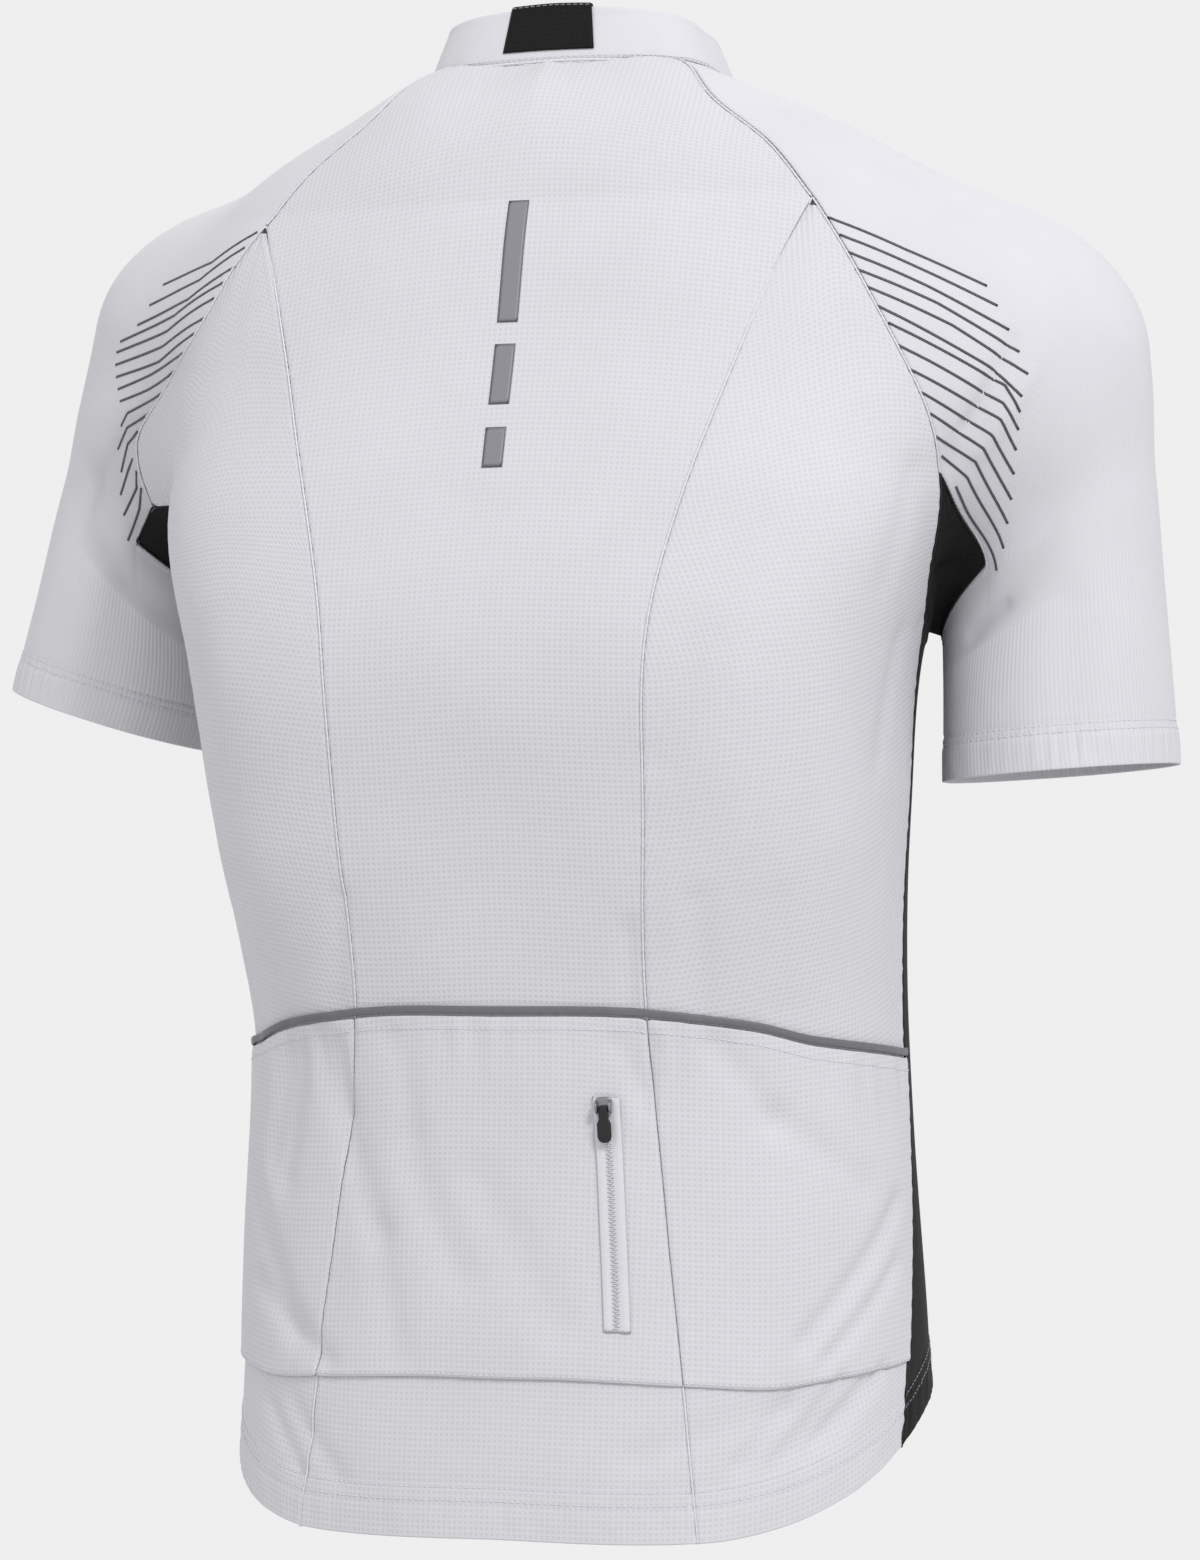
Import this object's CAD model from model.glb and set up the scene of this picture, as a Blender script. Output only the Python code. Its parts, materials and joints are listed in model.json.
"""Short-sleeved cycling jersey in its worn form, built as an add-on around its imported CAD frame.

Shapes are worked out in millimetres and put into meshes in metres. +Z is up, -Y is out of the chest
and +X is the wearer's left arm.
"""

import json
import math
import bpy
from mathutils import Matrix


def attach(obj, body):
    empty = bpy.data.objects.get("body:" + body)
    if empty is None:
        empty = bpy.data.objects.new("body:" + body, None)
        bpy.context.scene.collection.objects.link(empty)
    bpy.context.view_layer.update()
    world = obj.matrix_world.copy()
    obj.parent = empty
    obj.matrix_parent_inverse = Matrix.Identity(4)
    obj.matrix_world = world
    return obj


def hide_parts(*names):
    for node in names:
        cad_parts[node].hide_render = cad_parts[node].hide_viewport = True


bl_info = {
    "name": "Cycling Jersey",
    "version": (1, 0, 0),
    "blender": (4, 5, 0),
    "location": "View3D > Sidebar > Jersey",
    "description": "Makes a short-sleeved cycling jersey from its sewn pieces",
    "category": "Add Mesh",
}

import bpy
import numpy as np
from mathutils import Matrix

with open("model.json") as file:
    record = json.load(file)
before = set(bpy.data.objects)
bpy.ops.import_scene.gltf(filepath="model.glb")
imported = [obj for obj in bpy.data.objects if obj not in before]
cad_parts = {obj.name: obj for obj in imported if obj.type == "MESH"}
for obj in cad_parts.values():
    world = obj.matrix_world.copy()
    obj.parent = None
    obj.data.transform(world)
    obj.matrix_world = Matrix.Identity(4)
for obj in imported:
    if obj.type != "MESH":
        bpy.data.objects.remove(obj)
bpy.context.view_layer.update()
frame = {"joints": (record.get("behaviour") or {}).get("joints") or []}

MM = 0.001
GARMENT = "garment"

# Torso rings from the hem to the shoulders
TORSO_RINGS = {
    "z": [-740, -640, -540, -440, -350, -270, -200, -130, -60],
    "half_width": [171, 164.5, 161, 155, 159.5, 167.5, 185, 176, 176],
    "back": [141, 133, 122, 117.5, 127, 134.5, 119, 94.5, 73.5],
    "front": [126, 125, 125, 128, 135, 139, 135, 122, 100],
    "square": [2.55, 2.44, 2.28, 2.44, 3.7, 3.87, 3.5, 3.0, 2.76],
    "front_square": [1.9, 1.9, 1.9, 1.9, 1.9, 2.0, 2.4, 2.6, 2.3],
    "lean": [-2, -1.5, -0.5, -0.5, 1.3, 2.5, 2, 0, 0],
}
WIDEST_Y = 23

# Shoulder ridge and the blends between torso and sleeves
RIDGE_TOP = 23
RIDGE_ROUND = 30
SLOPE_LEFT = 0.375
SLOPE_RIGHT = 0.33
HOLLOW_DEPTH = 4.5
HOLLOW_AT = 97
HOLLOW_SPREAD = 34
SHOULDER_BLEND = 106
SLEEVES = {
    "left": {"side": 1, "shoulder": (216.5, -36.5, -114), "cuff": (268.5, -49, -296), "tilt": (0.03, -0.11)},
    "right": {"side": -1, "shoulder": (-217, -18.5, -134.5), "cuff": (-219.5, -34.5, -327.5), "tilt": (0.06, -0.12)},
}
SLEEVE_TOP_RADIUS = 47.5
CUFF_RADIUS = 55.5
SLEEVE_RUN_ON = 20
CAP_BLEND = 130
UNDERARM_BLEND = 10
CAP_BULGE = 0.28
CAP_RISE = 40
BLEND_FROM_Z = -256
BLEND_HEIGHT = 116

# Neck seam and stand collar
NECK_HALF_WIDTH = 71
NECK_BACK = 52
NECK_FRONT = 68
NECK_SQUARE = 2.8
NECK_HEIGHTS = {"angle": [0, 45, 75, 110, 145, 180], "z": [8.5, 7.5, 5, -4, -22, -33]}
NECK_REACH = 55
BACK_NECK_HALF_ANGLE = 52
FRONT_NECK_ANGLE = 112
COLLAR_HEIGHTS = {"angle": [0, 90, 180], "height": [26, 22, 27], "lean": [8, 9, 7]}
COLLAR_FRONT_GAP = 0.9
TAB_WIDTH = 46
TAB_FOOT = 0.17
TAB_INNER_FOOT = 0.35

# Seam lines
HEM_HEIGHTS = {
    "angle": [0, 38, 50, 60, 70, 78, 95, 120, 180],
    "z": [-665, -665.5, -660.5, -652, -641, -631, -614, -604, -603],
}
BACK_SEAM = {
    "z": [-665, -596, -525, -428, -340, -278, -242, -202, -160, -127, -97, -63.5],
    "x": [96.5, 88.5, 79.5, 70, 73.5, 76, 80, 89, 101, 111, 121, 134],
}
SIDE_SEAM_BACK = {
    "z": [-632, -595, -553, -511, -469, -413, -361, -291, -262, -246, -228, -202],
    "y": [60, 47.5, 36, 28, 20, 17, 12.5, 9, 12, 22, 36, 56],
}
SIDE_SEAM_FRONT = {
    "z": [-608, -490, -361, -291, -252, -202],
    "y": [-26, -40, -46, -48, -46, -44],
}
RAGLAN_BACK_UPPER = [(84, 64, -14), (112, 70, -37), (134, 75, -63.5)]
RAGLAN_BACK_LOWER = {
    "left": [(150, 77, -84), (165, 77, -105.5), (179, 69, -122), (198, 52, -139), (219, 34, -157), (224, 28, -172), (221, 18, -194)],
    "right": [(152, 82, -89), (166, 84, -114), (180, 82, -142), (188, 77, -163), (191, 64, -190.5)],
}
RAGLAN_FRONT = [
    (82, -56, -34), (106, -72, -62), (127, -79, -93), (144, -78, -124), (157, -70, -154), (164, -58, -182),
]
TWIST = {"z": [-665, -560, -440, -350, -250], "x": [4.3, 3.8, 1.6, 0.4, 0]}
BACK_SEAM_ANGLE = 35
SIDE_REACH = 170
SIDE_BACK_HEM_ANGLE = 76.5
SIDE_FRONT_HEM_ANGLE = 107

# Underarm gusset
GUSSETS = {
    "left": {"corner_along": 92, "corner_angle": 12, "arm_drop": 20},
    "right": {"corner_along": 91.5, "corner_angle": 23, "arm_drop": 8},
}
GUSSET_TORSO_DROP = 8
GUSSET_FRONT = {"along": 104, "angle": 140}
GUSSET_REACH = 11
UNDERARM_Y = -15

# Pockets and zips
POCKET_MOUTH = {
    "angle": [0, 21, 32, 44, 52, 62, 89],
    "z": [-430.8, -430.8, -432.3, -436, -439.5, -446.5, -457],
}
POCKET_BOTTOM = {"angle": [0, 16, 38, 51, 61, 81], "z": [-594, -594, -597, -599.5, -597.5, -594.5]}
POCKET_BULGE = 2.2
POCKET_STAND = 1.7
BINDING_WIDTH = 4.5
BINDING_THICKNESS = 1.9
POCKET_ZIP_TOP = (-49.5, -467)
POCKET_ZIP_BOTTOM = (-55, -572)
POCKET_ZIP_WIDTH = 12
FRONT_ZIP_WIDTH = 8
SLIDER_PLATE = 1.6
TAPE_LIFT = 0.25
TAPE_THICKNESS = 0.7
TOOTH_PITCH = 1.9

# Main creases and finer folds: from, to, half width and depth; a negative depth is a ridge
CREASES = [
    ((-236, 66, -120), (-200, 66, -188), 9, 4.5),
    ((-214, 38, -243), (-180, 22, -232), 6, 2.5),
    ((252, 10, -178), (244, -2, -232), 9, 3),
    ((196, -96, -130), (186, -84, -196), 9, 4),
    ((-196, -92, -138), (-186, -80, -200), 9, 4),
    ((-100, 128, -640), (-150, 98, -612), 8, 2),
    ((-64, 146, -628), (-128, 118, -606), 7, 1.6),
    ((60, -100, -560), (130, -78, -500), 11, 2.5),
    ((-52, -102, -566), (-120, -82, -520), 10, 2.2),
    ((70, -108, -300), (150, -76, -236), 11, 3),
    ((-64, -108, -310), (-146, -78, -240), 11, 2.8),
]
FOLDS = [
    ((-226, 60, -128), (-206, 66, -172), 3.2, 2.2),
    ((-244, 56, -132), (-214, 62, -186), 5, -2.2),
    ((-186, 82, -190), (-172, 92, -240), 8, 1.5),
    ((-206, 30, -250), (-186, 22, -262), 4, 2.0),
    ((-131, 108, -579), (-158, 50, -521), 5, 2.7),
    ((-139, 101, -588), (-159, 55, -549), 4, 2.2),
    ((-109, 133, -632), (-126, 117, -606), 4, 2.1),
    ((-132, 115, -629), (-152, 83, -599), 3.5, 2.1),
    ((-140, 106, -625), (-157, 72, -595), 3.5, 2.0),
    ((-121, 125, -633), (-145, 95, -597), 3.5, 2.1),
    ((-98, 122, -445), (-118, 108, -479), 7, 1.8),
    ((-118, 108, -479), (-149, 74, -512), 8, 1.8),
    ((-63, 142, -392), (-62, 137, -426), 5, 1.4),
    ((-94, 139, -379), (-92, 128, -426), 6, 1.5),
    ((-124, 125, -380), (-121, 110, -430), 7, 1.3),
    ((81, 129, -445), (77, 130, -475), 5, 1.8),
    ((49, 137, -442), (42, 138, -483), 7, 1.7),
    ((106, 117, -453), (114, 113, -509), 8, 2.7),
    ((136, 93, -512), (105, 126, -577), 8, 2.5),
    ((131, 104, -557), (86, 137, -589), 6, 2.1),
    ((123, 118, -611), (101, 137, -640), 4, 1.8),
    ((109, 128, -609), (78, 147, -642), 5, 1.4),
    ((-56, 136, -442), (-65, 134, -464), 4, 1.5),
    ((-72, 133, -444), (-67, 133, -473), 4, 1.7),
    ((74, 144, -378), (82, 132, -425), 6, 1.3),
    ((148, 96, -392), (140, 94, -446), 7, 1.5),
    ((206, 34, -236), (160, 92, -290), 8, 1.5),
    ((-166, 53, -264), (-159, 66, -319), 8, 1.4),
    ((-102, 151, -264), (-82, 152, -316), 10, 1.3),
    ((9, 142, -505), (-29, 147, -571), 11, 1.5),
    ((244, 10, -240), (262, 0, -290), 9, 1.7),
    ((-240, 22, -250), (-236, 20, -310), 11, 1.5),
    ((110, -100, -560), (150, -60, -600), 5, 1.8),
    ((-96, -104, -566), (-146, -62, -604), 5, 1.7),
    ((150, -84, -230), (120, -108, -300), 8, 1.7),
    ((-152, -82, -236), (-124, -106, -312), 8, 1.5),
    ((116, 122, -437), (124, 106, -500), 6, 2.2),
    ((95, 124, -442), (60, 142, -530), 8, 2.2),
    ((60, 142, -530), (48, 146, -584), 8, 1.7),
    ((44, 142, -492), (18, 146, -548), 9, 1.7),
]
FOLD_REACH = 22
WAVES = [
    ((0.041, 0.012, 0.028), 0.3, 0.32), ((-0.018, 0.055, 0.033), 1.7, 0.22), ((0.067, -0.02, -0.045), 4.1, 0.16),
    ((0.013, 0.071, -0.058), 2.6, 0.12), ((-0.09, 0.03, 0.075), 5.2, 0.08),
]

# Sleeve columns: steps round the armhole loop, as the solids count them
LOOP_STEPS = {"gusset": 4, "lower": 6, "upper": 5, "neck": 4, "front": 8}
CAP_ROWS = 60

# Rows of stitches, by their distance from the finished edge
HEM_ROWS = (17, 23)
CUFF_ROWS = (17, 20.5)
STITCH_PITCH = 3.3
STITCH_WIDTH = 0.62

# Reflective bars down the middle of the back: upper end, lower end and half width
BACK_BARS = {"top": [-60, -127, -165.5], "bottom": [-117, -155, -184], "half_width": [5, 5, 5]}

# Thin lines on the sleeves: where each starts beside the raglan seam, bends and ends
LINE_WIDTH = 1.2
SLEEVE_LINES = {
    "right": {
        "start": [
            (-142, 78, -73), (-148, 80, -81), (-152, 82, -89), (-156, 83, -97), (-161, 84, -105), (-166, 84, -114),
            (-171, 83, -122), (-175, 83, -132), (-180, 82, -143), (-184, 80, -153), (-188, 76, -163),
            (-189, 72, -173), (-191, 66, -182), (-193, 52, -195),
        ],
        "bend": [
            (-175, 68, -88), (-181, 69, -96), (-186, 69, -105), (-190, 68, -113), (-196, 66, -123), (-213, 56, -143),
            (-217, 53, -150), (-216, 53, -158), (-214, 52, -165), (-210, 52, -172), (-206, 52, -178),
            (-202, 51, -184), (-198, 50, -191), (-194, 45, -201),
        ],
        "end": [
            (-209, 52, -105), (-214, 52, -114), (-219, 51, -125), (-223, 49, -135), (-226, 47, -145),
            (-223, 48, -155), (-222, 47, -162), (-221, 45, -170), (-219, 42, -179), (-217, 38, -190),
            (-214, 32, -201), (-211, 28, -212), (-208, 24, -223), (-204, 23, -233),
        ],
    },
    "left": {
        "start": [
            (138, 74, -67), (144, 75, -74), (148, 77, -83), (155, 77, -90), (160, 77, -97), (165, 77, -106),
            (171, 74, -113), (180, 68, -122), (188, 61, -130), (198, 52, -139), (209, 42, -148), (219, 33, -156),
            (226, 26, -169), (225, 24, -175), (224, 20, -183),
        ],
        "bend": [
            (166, 65, -79), (173, 64, -87), (179, 62, -96), (189, 56, -103), (194, 53, -110), (198, 51, -117),
            (201, 48, -124), (209, 41, -130), (211, 40, -137), (226, 30, -147), (227, 29, -154), (228, 27, -162),
            (230, 22, -174), (227, 19, -183), (228, 14, -193),
        ],
        "end": [
            (201, 40, -87), (210, 38, -96), (218, 34, -105), (231, 25, -112), (234, 23, -117), (235, 23, -123),
            (234, 23, -129), (233, 25, -135), (231, 26, -141), (231, 26, -153), (235, 22, -164), (235, 19, -175),
            (238, 14, -186), (238, 11, -196), (237, 8, -208),
        ],
    },
}

# Sliders and pull tabs
SLIDER = {"along": [-4.5, -4.1, -2, 1, 3, 4.2, 4.5], "half_width": [1.6, 2.9, 3.3, 3.8, 3.8, 3.1, 1.8]}
SLIDER_HEIGHT = 5
CHEEK = 1.2
AXIS_HEIGHT = 2.9
PULL = {
    "down": [-0.7, -0.5, 0, 5.6, 7.4, 13.4, 15.0, 15.8, 16],
    "half_width": [1.2, 1.8, 2.25, 2.25, 3.2, 3.2, 2.6, 1.5, 0.5],
    "half_depth": [0.4, 0.6, 0.7, 0.7, 0.7, 0.7, 0.66, 0.5, 0.3],
}

# Grid steps near a piece's edges and across its middle
EDGE_STEPS = (0, 0.25, 0.7, 1.4, 2.4, 4.0, 6.5)
GRID_STEP = 3.4
SEAM_INSET = 0.12


def unit(v):
    """Each vector divided by its own length."""
    return v / np.maximum(np.linalg.norm(v, axis=-1, keepdims=True), 1e-12)


def column_at(table, column, at):
    """A smooth curve through a table's rows: cubic pieces whose slopes at each row are those between its neighbours."""
    keys = np.array(next(iter(table.values())), float)
    values = np.array(table[column], float)
    if keys[0] > keys[-1]:
        keys, values = keys[::-1], values[::-1]
    before = np.maximum(np.arange(len(keys)) - 1, 0)
    after = np.minimum(np.arange(len(keys)) + 1, len(keys) - 1)
    slopes = (values[after] - values[before]) / (keys[after] - keys[before])
    at = np.clip(at, keys[0], keys[-1])
    i = np.clip(np.searchsorted(keys, at, side="right") - 1, 0, len(keys) - 2)
    span = keys[i + 1] - keys[i]
    t = (at - keys[i]) / span
    t2 = t * t
    t3 = t2 * t
    return (
        (2 * t3 - 3 * t2 + 1) * values[i] + (t3 - 2 * t2 + t) * span * slopes[i]
        + (3 * t2 - 2 * t3) * values[i + 1] + (t3 - t2) * span * slopes[i + 1]
    )


def smooth_min(a, b, blend):
    """The smaller of two levels, rounded off by a parabola where they differ by less than the blend."""
    h = np.maximum(blend - np.abs(a - b), 0) / blend
    return np.minimum(a, b) - h * h * blend / 4


def smooth_step(t):
    """Rises from 0 to 1 with level ends: three t squared less two t cubed."""
    c = np.clip(t, 0, 1)
    return c * c * (3 - 2 * c)


def torso_level(p):
    """About the distance outside the torso: a ring of powers round the middle, cut off by the shoulder ridge."""
    x, y, z = p[..., 0], p[..., 1] - WIDEST_Y, p[..., 2]
    half_width = column_at(TORSO_RINGS, "half_width", z)
    behind = y > 0
    depth = np.where(behind, column_at(TORSO_RINGS, "back", z), column_at(TORSO_RINGS, "front", z))
    square = np.where(behind, column_at(TORSO_RINGS, "square", z), column_at(TORSO_RINGS, "front_square", z))
    leaning = x - column_at(TORSO_RINGS, "lean", z)
    ring = (np.abs(leaning / half_width) ** square + np.abs(y / depth) ** square) ** (1 / square) + 1e-9
    wall = np.hypot(leaning, y) * (1 - 1 / ring)
    slope = np.where(x > 0, SLOPE_LEFT, SLOPE_RIGHT)
    hollow = HOLLOW_DEPTH * np.exp(-(((np.abs(x) - HOLLOW_AT) / HOLLOW_SPREAD) ** 2))
    ridge = RIDGE_TOP - hollow - slope * (np.hypot(x, RIDGE_ROUND) - RIDGE_ROUND)
    return -smooth_min(-wall, -(z - ridge) / np.hypot(1, slope), SHOULDER_BLEND)


def sleeve_axis(sleeve):
    """The shoulder joint, the way along the sleeve and its length."""
    shoulder = np.array(sleeve["shoulder"], float)
    run = np.array(sleeve["cuff"], float) - shoulder
    length = np.linalg.norm(run)
    return shoulder, run / length, length


def sleeve_level(p, sleeve):
    """Distance outside a tapered tube round the sleeve's axis."""
    shoulder, along, length = sleeve_axis(sleeve)
    reach = np.clip((p - shoulder) @ along, 0, length + SLEEVE_RUN_ON)
    middle = shoulder + reach[..., None] * along
    radius = SLEEVE_TOP_RADIUS + (CUFF_RADIUS - SLEEVE_TOP_RADIUS) * reach / length
    return np.linalg.norm(p - middle, axis=-1) - radius


def body_level(p):
    """Torso and both sleeves, blended widely at the shoulders and closely under the arms."""
    rise = smooth_step((p[..., 2] - BLEND_FROM_Z) / BLEND_HEIGHT)
    blend = UNDERARM_BLEND + (CAP_BLEND - UNDERARM_BLEND) * rise
    level = smooth_min(torso_level(p), sleeve_level(p, SLEEVES["left"]), blend)
    return smooth_min(level, sleeve_level(p, SLEEVES["right"]), blend)


def slope_of(level, p):
    """Slope of a level in x, y and z from differences half a millimetre to each side."""
    steps = np.eye(3) * 0.5
    return np.stack([level(p + step) - level(p - step) for step in steps], axis=-1)


def onto_body(p, level=body_level, rounds=9):
    """The nearest point of a level's surface, by repeated steps along its slope."""
    p = np.array(p, float)
    for _ in range(rounds):
        slope = slope_of(level, p)
        move = np.clip(level(p) / np.maximum((slope ** 2).sum(-1), 0.05), -12, 12)
        p = p - slope * move[..., None]
    return p


def outward(p):
    """Unit vector straight out of the body."""
    return unit(slope_of(body_level, p))


def between(test, low, high, count=32):
    """Halves a range again and again towards the value where a test stops holding."""
    for _ in range(count):
        middle = (low + high) / 2
        inside = test(middle)
        low, high = np.where(inside, middle, low), np.where(inside, high, middle)
    return low


def round_point(heights, angle):
    """The torso's surface straight out from its middle at angles from the back, at the heights of a table."""
    angle = np.asarray(angle, float)
    z = column_at(heights, "z", np.abs(angle))
    way = np.stack([np.sin(np.radians(angle)), np.cos(np.radians(angle))], axis=-1)

    def place(distance):
        return np.stack([way[..., 0] * distance, WIDEST_Y + way[..., 1] * distance, z], axis=-1)

    return place(between(lambda d: torso_level(place(d)) < 0, np.zeros_like(z), np.full_like(z, 400)))


def on_torso(x, z, way):
    """The torso's surface at a sideways place and height, at the back (way 1) or the front (way -1)."""
    x, z = np.broadcast_arrays(np.asarray(x, float), np.asarray(z, float))

    def place(distance):
        return np.stack([x, way * distance, z], axis=-1)

    return place(between(lambda d: torso_level(place(d)) < 0, np.zeros_like(z), np.full_like(z, 260)))


def angle_round(p):
    """Angle round the torso's middle, 0 at the back and positive towards the wearer's left."""
    return np.degrees(np.arctan2(p[..., 0], p[..., 1] - WIDEST_Y))


def neck_point(angle):
    """The neck seam: a rounded square seen from above, at the heights of its table."""
    turn = np.radians(angle)

    def rounded(value):
        return np.sign(value) * np.abs(value) ** (2 / NECK_SQUARE)

    x = NECK_HALF_WIDTH * rounded(np.sin(turn))
    y = np.where(np.cos(turn) > 0, NECK_BACK, NECK_FRONT) * rounded(np.cos(turn))
    return np.stack([x, y, column_at(NECK_HEIGHTS, "z", np.abs(angle))], axis=-1)


def neck_angle_at(x):
    """The angle from the back at which the neck seam is a given distance from the middle."""
    return math.degrees(math.asin((x / NECK_HALF_WIDTH) ** (NECK_SQUARE / 2)))


NECK_TURNS = np.linspace(-180, 180, 121)
NECK_SHIFTS = neck_point(NECK_TURNS) - onto_body(neck_point(NECK_TURNS))


def on_cloth(guide):
    """Guide points put onto the body, and near the neck moved on with the neck seam."""
    guide = np.asarray(guide, float)
    angle = np.degrees(np.arctan2(guide[..., 0], guide[..., 1]))
    seam = neck_point(angle)
    shift = np.stack([np.interp(angle, NECK_TURNS, NECK_SHIFTS[:, k]) for k in range(3)], axis=-1)
    reach = smooth_step(1 - np.linalg.norm(seam - guide, axis=-1) / NECK_REACH)
    return onto_body(guide) + shift * reach[..., None]


def fold_depth(p, folds, out=None):
    """Depth of soft troughs: each falls off with the square of the distance from its line, as a bell does. Where the
    ways out of the body are given, the distance is the part across the cloth, so a line may cut under a curve."""
    depth = np.zeros(p.shape[:-1])
    for start, end, half_width, deep in folds:
        start, end = np.array(start, float), np.array(end, float)
        run = end - start
        along = np.clip((p - start) @ run / (run @ run), 0, 1)
        away = p - start - along[..., None] * run
        square = (away ** 2).sum(-1) / half_width ** 2
        if out is not None:
            under = (away * out).sum(-1)
            square += under ** 2 * (1 / FOLD_REACH ** 2 - 1 / half_width ** 2)
        depth += deep * np.exp(-square)
    return depth


def relief(p):
    """How far the cloth stands out of the body: less its creases and folds, plus a few slow waves."""
    waves = sum(high * np.sin(p @ np.array(way) + phase) for way, phase, high in WAVES)
    return waves - fold_depth(p, CREASES) - fold_depth(p, FOLDS, outward(p))


def length_along(grid, axis):
    """Length run so far along a grid's rows (axis 1) or columns (axis 0)."""
    steps = np.linalg.norm(np.diff(grid, axis=axis), axis=-1)
    zero = np.zeros_like(np.take(steps, [0], axis=axis))
    return np.concatenate([zero, np.cumsum(steps, axis=axis)], axis=axis)


def at_shares(line, shares):
    """Points at shares of the length of a line of points."""
    run = length_along(line, 0)
    return np.stack([np.interp(shares * run[-1], run, line[:, k]) for k in range(3)], axis=-1)


def smooth_line(guides, count=90):
    """A smooth curve through guide points, each coordinate a cubic over the root of the length run."""
    guides = np.array(guides, float)
    run = np.concatenate([[0], np.cumsum(np.sqrt(np.linalg.norm(np.diff(guides, axis=0), axis=-1)))])
    at = np.linspace(0, run[-1], count)
    return np.stack([column_at({"run": run, "value": guides[:, k]}, "value", at) for k in range(3)], axis=-1)


def edge_shares(length, start=True, end=True, step=GRID_STEP):
    """Shares of a length, close together near the edges that are worked and evenly spaced between."""
    near = np.array(EDGE_STEPS) * min(1, length / 4 / EDGE_STEPS[-1])
    low = near[-1] if start else 0
    high = length - near[-1] if end else length
    middle = np.linspace(low, high, max(int((high - low) / step), 2) + 1)
    parts = [near[:-1]] if start else []
    parts.append(middle)
    if end:
        parts.append(length - near[-2::-1])
    places = np.concatenate(parts)
    return np.clip(places, SEAM_INSET, length - SEAM_INSET) / length


def patch(left, right, bottom, top, across, up):
    """Grid between four edge lines at shares across and up: the blend of opposite edges, less their corners."""
    if across.ndim == 1:
        across, up = np.meshgrid(across, up)
    u, v = across[..., None], up[..., None]
    ends = np.array([0.0, 1.0])
    low, high = at_shares(bottom, ends), at_shares(top, ends)
    left, right = at_shares(left, up), at_shares(right, up)
    bottom, top = at_shares(bottom, across), at_shares(top, across)
    corners = (1 - v) * ((1 - u) * low[0] + u * low[1]) + v * ((1 - u) * high[0] + u * high[1])
    return on_cloth((1 - u) * left + u * right + (1 - v) * bottom + v * top - corners)


def seams_of(name):
    """The seam lines of one side, from the same named places as the solids."""
    sleeve = SLEEVES[name]
    side = sleeve["side"]

    def mirrored(points):
        return onto_body(np.array(points, float) * (side, 1, 1))

    lower = RAGLAN_BACK_LOWER[name]

    x, z = np.meshgrid(np.arange(110, 230), np.arange(-150, -330, -1))
    free = body_level(np.stack([side * x, np.full_like(x, UNDERARM_Y), z], axis=-1).astype(float)) > 0
    row = np.argmax(free.any(axis=1))
    underarm = np.array([side * x[row, np.argmax(free[row])], UNDERARM_Y, z[row, 0]], float)

    def side_seam(table, hem_angle, top_z):
        heights = np.linspace(float(column_at(HEM_HEIGHTS, "z", hem_angle)), top_z, 90)
        y = column_at(table, "y", heights) - WIDEST_Y
        angle = np.degrees(np.arctan2(side * np.sqrt(SIDE_REACH ** 2 - y ** 2), y))
        order = {"angle": np.arange(90.0), "z": heights}
        way = np.stack([np.sin(np.radians(angle)), np.cos(np.radians(angle))], axis=-1)

        def place(distance):
            return np.stack([way[:, 0] * distance, WIDEST_Y + way[:, 1] * distance, order["z"]], axis=-1)

        reach = between(lambda d: torso_level(place(d)) < 0, np.zeros(90), np.full(90, 400.0))
        return onto_body(place(reach))

    heights = np.linspace(float(column_at(HEM_HEIGHTS, "z", BACK_SEAM_ANGLE)), RAGLAN_BACK_UPPER[-1][2], 160)
    back_x = side * column_at(BACK_SEAM, "x", heights) + column_at(TWIST, "x", heights)
    back = on_torso(back_x, heights, 1)
    back[-1] = mirrored(RAGLAN_BACK_UPPER[-1])
    side_back = side_seam(SIDE_SEAM_BACK, SIDE_BACK_HEM_ANGLE, underarm[2] + 10)
    side_front = side_seam(SIDE_SEAM_FRONT, SIDE_FRONT_HEM_ANGLE, underarm[2] + 6)

    upper_neck = neck_point(side * BACK_NECK_HALF_ANGLE)
    raglan_upper = on_cloth(smooth_line([upper_neck, *mirrored(RAGLAN_BACK_UPPER)]))
    raglan_lower = on_cloth(smooth_line(mirrored([RAGLAN_BACK_UPPER[-1], *lower])))
    raglan_front = on_cloth(smooth_line([neck_point(side * FRONT_NECK_ANGLE), *mirrored(RAGLAN_FRONT)]))
    back_apex, front_apex = raglan_lower[-1], raglan_front[-1]
    back_foot, front_foot = side_back[-1], side_front[-1]
    steps = np.linspace(0, 1, 30)
    gusset_back = onto_body(at_shares(np.array([back_foot, back_apex]), steps))
    gusset_front = onto_body(at_shares(np.array([front_foot, front_apex]), steps))
    gusset = GUSSETS[name]
    torso_side = onto_body(underarm + (-side * GUSSET_REACH, 0, -GUSSET_TORSO_DROP), torso_level)
    arm_side = onto_body(underarm + (side * GUSSET_REACH, 0, -gusset["arm_drop"]))
    panel_top = onto_body(at_shares(smooth_line([back_foot, torso_side, front_foot]), steps))
    back_corner = onto_body(sleeve_point(sleeve, gusset["corner_along"], gusset["corner_angle"]))
    front_corner = onto_body(sleeve_point(sleeve, GUSSET_FRONT["along"], GUSSET_FRONT["angle"]))
    stops = [back_apex, back_corner, arm_side, front_corner, front_apex]
    arm_edge = [onto_body(at_shares(np.array(pair), steps)) for pair in zip(stops, stops[1:])]
    return {
        "side": side, "sleeve": sleeve, "back": back, "side_back": side_back, "side_front": side_front,
        "raglan_upper": raglan_upper, "raglan_lower": raglan_lower, "raglan_front": raglan_front,
        "gusset_back": gusset_back, "gusset_front": gusset_front, "panel_top": panel_top, "arm_edge": arm_edge,
    }


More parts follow.
